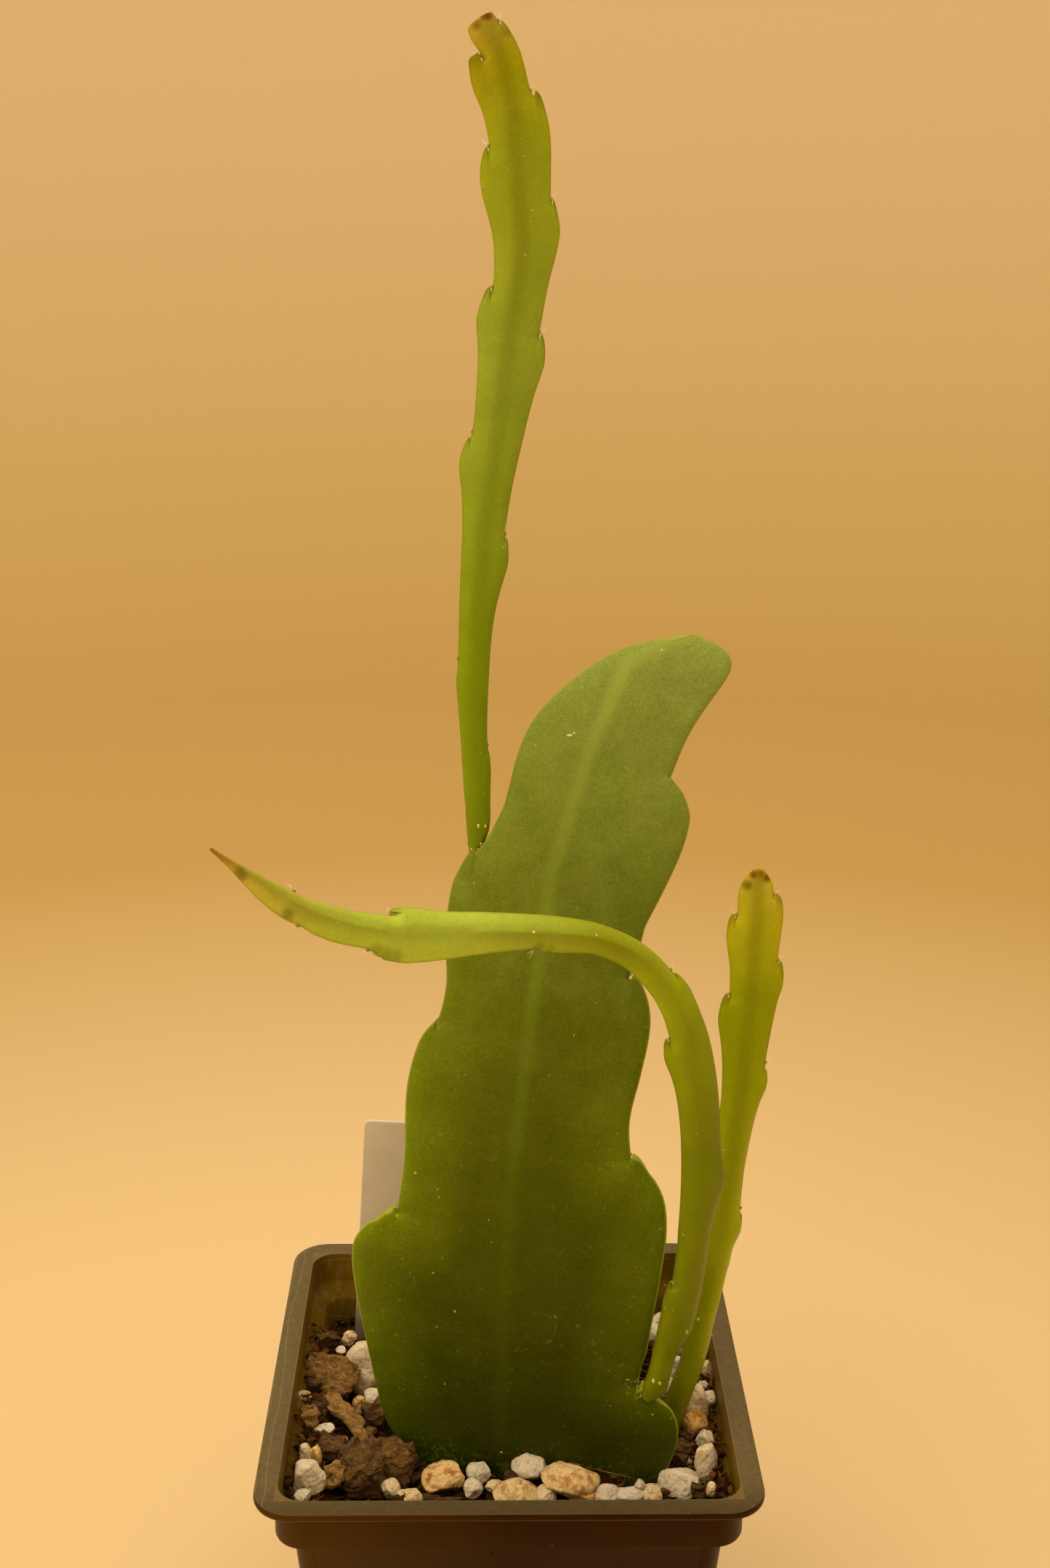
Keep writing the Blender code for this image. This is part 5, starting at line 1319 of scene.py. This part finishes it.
# dark spots: partly dirt and partly painted shade in the pits
dirt_and_pit_shade = add(tree, "MapRange", {"Value": dirt, "From Min": 0.34, "From Max": 0.45, "To Min": 0.35,
                               "To Max": 1.0})
both = add(tree, "Math", {0: shadow, 1: dirt_and_pit_shade}, operation="MULTIPLY")
pitted = add(tree, "VectorMath", {0: colour, "Scale": both}, operation="SCALE")
plug(tree, shader, {"Base Color": pitted, "Roughness": 0.95})
gritty = add(tree, "Bump", {"Height": dirt, "Strength": 0.5, "Distance": 0.25 * MM})
foam = add(tree, "Bump", {"Height": holes, "Strength": 0.45, "Distance": 0.3 * MM, "Normal": gritty})
plug(tree, shader, {"Normal": foam})
print("material:", stone.name)

# %% Pumice stones
groups = ("front", "right", "back", "left_front", "left_back")
for number, node in enumerate("pumice_" + group for group in groups):
    copies = [
        (seen_pebble(*row[:6], 100 * number + k), pebble_shape[1], row[6])
        for k, row in enumerate(SEEN_STONES.get(node, []))
    ]
    for k, (x, y, length, width, height, turn, lift, shade) in enumerate(HIDDEN_STONES.get(node, [])):
        shape = pebble((x, y, mix_height(x, y) + lift), (length, width, height), turn, 100 * number + 50 + k)
        copies.append((shape, pebble_shape[1], shade))
    piece = one_piece(node + "_stones", copies)
    finish_piece(piece, stone, "pumice", node)
    reach = np.abs(corners(piece)[:, :2]).max(axis=0) / MM
    print(f"  reaches {reach.max():.1f} mm from the middle; the walls are {BAND_HALF - WALL:.1f}")

# %% [markdown]
# ## Bark
#
# Fir bark breaks into blocks and slabs with a fibrous grain and ragged ends. A block starts as a cube
# that is subdivided, softened and torn by noise which is stretched along the grain. The material's pattern is
# stretched too, one way for all blocks, since they lie much the same way in this pot.

# %% Bark in the pot
# x and y in pixels of the picture, height of the middle, length, width, thickness, turn, tilt to the front,
# curl, tone: lengths in millimetres, angles in degrees
SEEN_BARK = {
    "bark_front": [
        (500, 2026, 74.0, 8.0, 7.6, 7.2, 12, 10, 0.0, 0.5), (536, 2013, 73.6, 8.6, 7.0, 6.8, -14, 0, 0.0, 0.6),
        (462, 2028, 75.2, 3.2, 3.2, 4.0, 20, 0, 0.0, 0.95), (455, 1993, 75.0, 5.2, 4.2, 3.2, -20, 15, 0.0, 0.5),
        (482, 2000, 75.0, 5.2, 3.6, 3.0, 40, 15, 0.0, 0.45), (545, 2063, 71.8, 3.4, 2.0, 2.0, -25, 0, 0.0, 0.2),
    ],
    "bark_back": [
        (454, 1894, 76.4, 10.6, 8.4, 2.6, -16, 28, 0.0, 0.72),
        (468, 1938, 76.2, 12.0, 3.4, 1.5, -50, 20, 0.03, 0.85),
        (516, 1947, 73.0, 4.0, 3.6, 3.2, 10, 20, 0.0, 0.5), (423, 1952, 77.0, 2.8, 2.8, 3.4, 0, 0, 0.0, 0.8),
        (492, 1968, 75.0, 7.0, 2.2, 1.0, -62, 10, 0.05, 0.8),
        (504, 1975, 74.6, 6.0, 2.0, 1.0, 64, 0, 0.06, 0.55), (440, 1940, 75.4, 4.4, 3.4, 2.4, 30, 10, 0.0, 0.3),
        (452, 1845, 76.0, 3.6, 3.0, 2.6, 15, 0, 0.0, 0.4),
    ],
    "bark_chips": [
        (703, 2034, 73.0, 2.6, 1.0, 2.6, -40, 0, 0.0, 0.2), (916, 2058, 71.6, 2.2, 2.0, 2.8, 10, 0, 0.0, 0.45),
        (942, 1990, 74.0, 4.4, 2.6, 1.6, 25, 10, 0.02, 0.6), (936, 2004, 73.0, 3.0, 1.6, 1.4, -30, 0, 0.0, 0.5),
        (950, 1972, 75.0, 3.4, 2.4, 1.6, 60, 10, 0.0, 0.4), (962, 2052, 74.4, 2.4, 2.4, 2.6, 0, 0, 0.0, 0.35),
        (850, 2020, 70.6, 8.0, 1.2, 1.0, -4, 0, 0.0, 0.75), (900, 2030, 70.8, 5.0, 1.4, 1.0, 8, 0, 0.0, 0.6),
        (590, 2062, 71.2, 4.6, 1.4, 0.9, -10, 0, 0.02, 0.35),
        (618, 2066, 71.0, 4.0, 1.2, 0.9, 12, 0, 0.03, 0.3), (575, 2032, 71.4, 3.6, 1.2, 0.9, 35, 0, 0.02, 0.3),
        (432, 1905, 77.0, 2.4, 2.0, 1.6, 0, 0, 0.0, 0.3),
    ],
}
print("bark blocks:", {name: len(rows) for name, rows in SEEN_BARK.items()})

# %% Shape of a bark block
BLOCK_CUTS = 17
bpy.ops.mesh.primitive_cube_add(size=2)
bpy.ops.object.mode_set(mode="EDIT")
bpy.ops.mesh.subdivide(number_cuts=BLOCK_CUTS)
bpy.ops.object.mode_set(mode="OBJECT")
block_shape = take_shape(bpy.context.object)


def bark_block(middle, length, width, thick, turn, tilt, curl, seed):
    """One block's points in metres: a softened cube, torn along its grain, curled, then turned."""
    cube = block_shape[0]
    ball = cube / np.linalg.norm(cube, axis=1)[:, None] * 1.1
    shape = (cube * 0.65 + ball * 0.35) * (length / 2, width / 2, thick / 2)
    grain = shape * (0.4, 1, 1)
    small = min(1.0, min(length, width, thick) / 3)
    for axis in range(3):
        shape[:, axis] += 1.0 * small * rumple(shape, 2.4, seed + 0.31 * axis)
        shape[:, axis] += 0.8 * small * rumple(grain, 0.8, seed + 0.17 + 0.31 * axis)
    shape[:, 2] -= curl * shape[:, 0] ** 2
    way = Matrix.Rotation(math.radians(turn), 3, "Z") @ Matrix.Rotation(math.radians(tilt), 3, "X")
    return turned(shape, 1, middle, np.array(way.transposed()))


print("points of a block:", len(block_shape[0]))

# %% Torn bark
bark, tree, shader, place = start_material("torn_fir_bark")
tone = add(tree, "Attribute", attribute_name="tone").outputs["Fac"]
stretched = add(tree, "Mapping", {"Vector": place, "Scale": (0.55, 1.0, 1.0), "Rotation": (0, 0, 0.6)})
fibres = add(tree, "TexNoise", {"Vector": stretched, "Scale": per_mm(0.8), "Detail": 6.0, "Roughness": 0.7})
crumb = add(tree, "TexNoise", {"Vector": place, "Scale": per_mm(0.45), "Detail": 4.0, "Roughness": 0.75})
torn = add(tree, "Mix", {0: 0.45, 2: fibres, 3: crumb}, data_type="FLOAT")
mixed = add(tree, "Math", {0: tone, 1: 0.4, 2: torn}, operation="MULTIPLY_ADD")
colour = add(tree, "ValToRGB", {"Fac": mixed},
             [(0.52, "160C01"), (0.63, "442C0A"), (0.76, "76541E"), (0.92, "B4904E")])
worn = add(tree, "TexNoise", {"Vector": place, "Scale": per_mm(2.8), "Detail": 5.0, "Roughness": 0.65})
patches = add(tree, "MapRange", {"Value": worn, "From Min": 0.54, "From Max": 0.64, "To Max": 0.6})
greyed = add(tree, "Mix", {0: patches, 6: colour, 7: from_hex("6C5A38")}, data_type="RGBA")
plug(tree, shader, {"Base Color": greyed, "Roughness": 0.85})
ragged = add(tree, "Bump", {"Height": torn, "Strength": 1.0, "Distance": 0.8 * MM})
plug(tree, shader, {"Normal": ragged})
for number, (node, rows) in enumerate(SEEN_BARK.items()):
    copies = []
    for k, (x, y, height, *size_and_turn, shade) in enumerate(rows):
        shape = bark_block(seen_at(x, y, height)[0], *size_and_turn, 200 + 20 * number + k)
        copies.append((shape, block_shape[1], shade))
    stands_for = [node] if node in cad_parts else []
    finish_piece(one_piece(node + "_pieces", copies), bark, "bark", *stands_for)

# %% [markdown]
# ## Roots
#
# A few thin dead roots lie over the bark and the mix. Each is a fine tube along a smooth curve through points
# of the picture, whose heights are chosen so that it lies on what is under it.

# %% Shape of a root
# points along each root: x and y in pixels of the picture, height in millimetres
ROOTS = [
    [(551, 1999, 77.0), (563, 2004, 76.2), (575, 2011, 74.6), (584, 2021, 73.0), (579, 2030, 72.2),
     (569, 2038, 71.8)],
    [(477, 1994, 77.4), (472, 2003, 77.2), (468, 2015, 77.6), (462, 2022, 77.4)],
    [(598, 2063, 71.6), (607, 2058, 71.9), (618, 2062, 71.8), (629, 2057, 71.8), (640, 2062, 71.6)],
    [(478, 2001, 77.6), (484, 1998, 77.8), (489, 2002, 77.6), (486, 2007, 77.5)],
    [(424, 1868, 77.6), (430, 1856, 77.8), (441, 1853, 77.6), (452, 1860, 77.4)],
    [(500, 1958, 75.6), (508, 1966, 75.8), (505, 1978, 75.9), (496, 1988, 76.4), (494, 2000, 77.6)],
    [(782, 2013, 75.0), (812, 2006, 75.6), (842, 2010, 75.2), (866, 2018, 74.4), (884, 2027, 73.4)],
    [(806, 2019, 74.8), (832, 2016, 75.0), (858, 2024, 74.2), (878, 2036, 72.6)],
    [(745, 2012, 73.6), (764, 2006, 74.6), (786, 2009, 75.2), (800, 2016, 75.0)],
]
STEPS, SMOOTHING = 101, 13  # points of the curve before smoothing, and how many of them are averaged
bpy.ops.mesh.primitive_cylinder_add(vertices=6, radius=1, depth=2, end_fill_type="TRIFAN")
tube = bpy.context.object
for face in tube.data.polygons:
    face.select = abs(face.normal.z) < 0.5
bpy.ops.object.mode_set(mode="EDIT")
bpy.ops.mesh.subdivide_edgering(number_cuts=23)
bpy.ops.object.mode_set(mode="OBJECT")
tube_shape = take_shape(tube)


def along_curve(knots, thick):
    """The tube's points in millimetres, bent along a smooth curve by the knots and thinner at its ends."""
    share = (tube_shape[0][:, 2] + 1) / 2 * (len(knots) - 1)
    wide = np.linspace(-0.5, len(knots) - 0.5, STEPS)
    straight = [np.interp(wide, range(len(knots)), knots[:, axis]) for axis in range(3)]
    ends = SMOOTHING // 2 + 1
    smooth = [np.convolve(line, np.ones(SMOOTHING) / SMOOTHING, "same")[ends:-ends] for line in straight]
    steps = np.linspace(0, len(knots) - 1, len(smooth[0]))
    middle, ahead, behind = (
        np.stack([np.interp(share + shift, steps, line) for line in smooth], axis=1)
        for shift in (0, 0.05, -0.05)
    )
    onward = ahead - behind
    onward /= np.linalg.norm(onward, axis=1)[:, None]
    sideways = np.cross(onward, (0.0, 0.0, 1.0))
    sideways /= np.linalg.norm(sideways, axis=1)[:, None]
    girth = thick * (1 - 0.6 * np.abs(tube_shape[0][:, 2:]) ** 3)
    upwards = np.cross(sideways, onward)
    return middle + girth * (tube_shape[0][:, :1] * sideways + tube_shape[0][:, 1:2] * upwards)


print("points of a root:", len(tube_shape[0]))

# %% Roots
copies = []
for number, row in enumerate(ROOTS):
    knots = np.array([seen_at(*point)[0] for point in row])
    copies.append((along_curve(knots, 0.17 if number else 0.2) * MM, tube_shape[1], 0.5 + 0.1 * (number % 3)))
root_skin, tree, shader, place = start_material("dry_root")
mottle = add(tree, "TexNoise", {"Vector": place, "Scale": per_mm(1.2), "Detail": 4.0})
colour = add(tree, "ValToRGB", {"Fac": mottle}, [(0.3, "5A4218"), (0.55, "8A6C34"), (0.75, "B09A64")])
plug(tree, shader, {"Base Color": colour, "Roughness": 0.7})
finish_piece(one_piece("dead_roots", copies), root_skin, "potting_mix")

# %% [markdown]
# ## Label
#
# The label is a plain strip cut from a sheet of polystyrene, left blank. A small bevel catches the light
# along its edges, as the cut edge of a real strip does. The plastic is slightly dusty, and soil has stained
# it near the mix.

# %% Label
label = bpy.data.objects.new("blank_label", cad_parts["plant_label"].data.copy())
bpy.context.scene.collection.objects.link(label)
select_only(label)
bpy.ops.object.mode_set(mode="EDIT")
bpy.ops.mesh.select_all(action="SELECT")
bpy.ops.mesh.remove_doubles(threshold=MERGE)
bpy.ops.mesh.dissolve_limited(angle_limit=math.radians(2))
bpy.ops.object.mode_set(mode="OBJECT")
rounding = label.modifiers.new("rounding", "BEVEL")
rounding.width = 0.18 * MM
rounding.segments = 3
bpy.ops.object.modifier_apply(modifier="rounding")
bpy.ops.object.shade_smooth_by_angle(angle=math.radians(40))
strip, tree, shader, place = start_material("cut_polystyrene_strip")
haze = add(tree, "TexNoise", {"Vector": place, "Scale": per_mm(6), "Detail": 5.0, "Roughness": 0.65})
clean = add(tree, "ValToRGB", {"Fac": haze}, [(0.3, "CCC6BC"), (0.7, "D6D1C8")])
height = add(tree, "SeparateXYZ", {0: place}).outputs["Z"]
ragged_height = add(tree, "Math", {0: haze, 1: 0.012, 2: height}, operation="MULTIPLY_ADD")
splash = add(tree, "MapRange", {"Value": ragged_height, "From Min": 0.074, "From Max": 0.09, "To Min": 0.8,
                                "To Max": 0.0})
stained = add(tree, "Mix", {0: splash, 6: clean, 7: from_hex("5E4A2C")}, data_type="RGBA")
plug(tree, shader, {"Base Color": stained, "Roughness": 0.5, "IOR": 1.55})
finish_piece(label, strip, "label_plastic", "plant_label")
